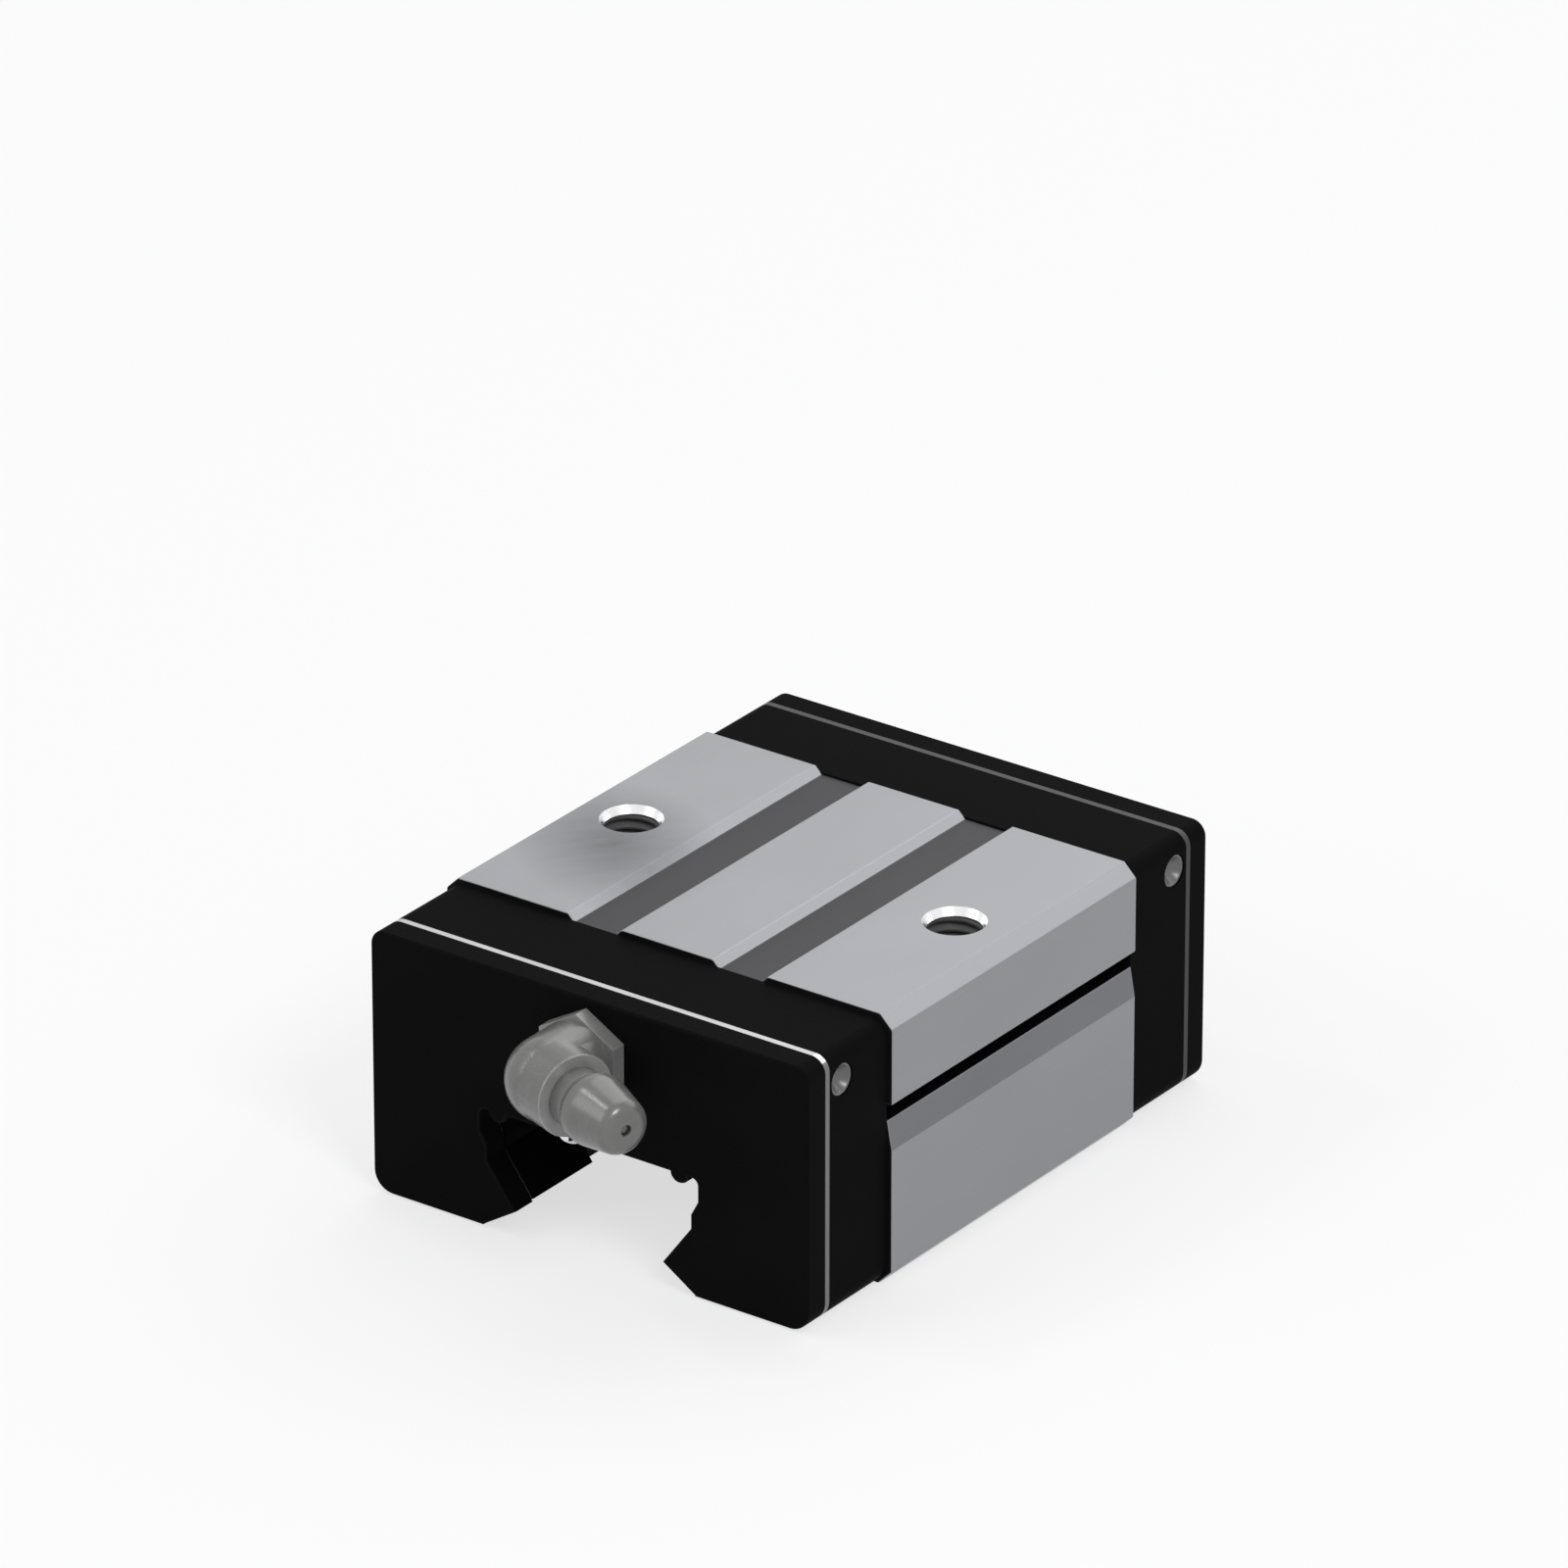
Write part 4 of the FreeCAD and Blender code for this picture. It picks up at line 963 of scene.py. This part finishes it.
KEPT_SOLIDS = {
    guide_plastic: [
        "front_left_return_guide", "front_right_return_guide",
        "rear_left_return_guide", "rear_right_return_guide",
        "top_ball_retainer", "left_side_retainer", "right_side_retainer",
        "left_lower_retainer", "right_lower_retainer",
    ],
    seal_rubber: ["left_bottom_seal", "right_bottom_seal"],
    greased_steel_painted_shade: ["nipple_check_ball"],
    screw_oxide: ["front_cap_screws", "rear_cap_screws"],
}


def dress_kept_solids():
    for material, names in KEPT_SOLIDS.items():
        for name in names:
            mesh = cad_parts[name].data
            mesh.materials.clear()
            mesh.materials.append(material)


# Floor, light and view

def seen_directly(tree):
    """1 for what the camera sees, straight, in metal or through glass, and 0 for what only gives light."""
    path = node(tree, "ShaderNodeLightPath")
    either = combine(tree, path.outputs["Is Camera Ray"], path.outputs["Is Glossy Ray"], "MAXIMUM")
    return combine(tree, either, path.outputs["Is Transmission Ray"], "MAXIMUM")


def floor_material():
    material = empty_material("pale_floor")
    tree = material.node_tree
    paint = node(tree, "ShaderNodeBsdfDiffuse", {"Color": opaque(FLOOR_COLOUR)})
    white = node(tree, "ShaderNodeEmission", {"Color": opaque(WHITE), "Strength": 1.0})
    share = combine(tree, seen_directly(tree), FLOOR_WHITE_SHARE, "MULTIPLY")
    mix = node(tree, "ShaderNodeMixShader", {0: share, 1: paint.outputs[0], 2: white.outputs[0]})
    node(tree, "ShaderNodeOutputMaterial", {"Surface": mix.outputs[0]})
    return material


def add_floor():
    half = FLOOR_SIZE / 2
    z = solid_box[0].z - FLOOR_GAP
    mesh = bpy.data.meshes.new("floor")
    corners = [(-half, -half, z), (half, -half, z), (half, half, z), (-half, half, z)]
    mesh.from_pydata(corners, [], [(0, 1, 2, 3)])
    mesh.materials.append(floor_material())
    add_object("floor", mesh)


def add_world():
    world = bpy.data.worlds.new("studio")
    bpy.context.scene.world = world
    world.use_nodes = True
    tree = world.node_tree
    tree.nodes.clear()
    strength = spread(tree, seen_directly(tree), WORLD_LIGHT, WORLD_SEEN, 0.0, 1.0)
    light = node(tree, "ShaderNodeBackground", {"Color": opaque(WHITE), "Strength": strength})
    node(tree, "ShaderNodeOutputWorld", {"Surface": light.outputs[0]})


def aim_at(thing, place, target):
    thing.location = place
    thing.rotation_euler = (Vector(target) - Vector(place)).to_track_quat("-Z", "Y").to_euler()


def add_softboxes():
    for name, (place, width, height, watts) in SOFTBOXES.items():
        light = bpy.data.lights.new(name, "AREA")
        light.shape = "RECTANGLE"
        light.size = width
        light.size_y = height
        light.energy = watts
        aim_at(add_object(name, light), place, (0, 0, 0))


def add_camera():
    lens = bpy.data.cameras.new("camera")
    lens.lens = CAMERA_LENS
    lens.sensor_width = CAMERA_SENSOR
    camera = add_object("camera", lens)
    aim_at(camera, CAMERA_PLACE, CAMERA_AIM)
    bpy.context.scene.camera = camera


steel_body()
end_pieces("front", sheet_painted_highlight, sheet_painted_shade)
end_pieces("rear", sheet_painted_deep_shade, sheet_painted_deep_shade)
ball_circuits()
port_plugs()
nipple_elbow()
nipple_nozzle()
nipple_coil()
port_screw()
dress_kept_solids()
add_floor()
add_world()
add_softboxes()
add_camera()
bpy.context.scene.view_settings.view_transform = "Standard"
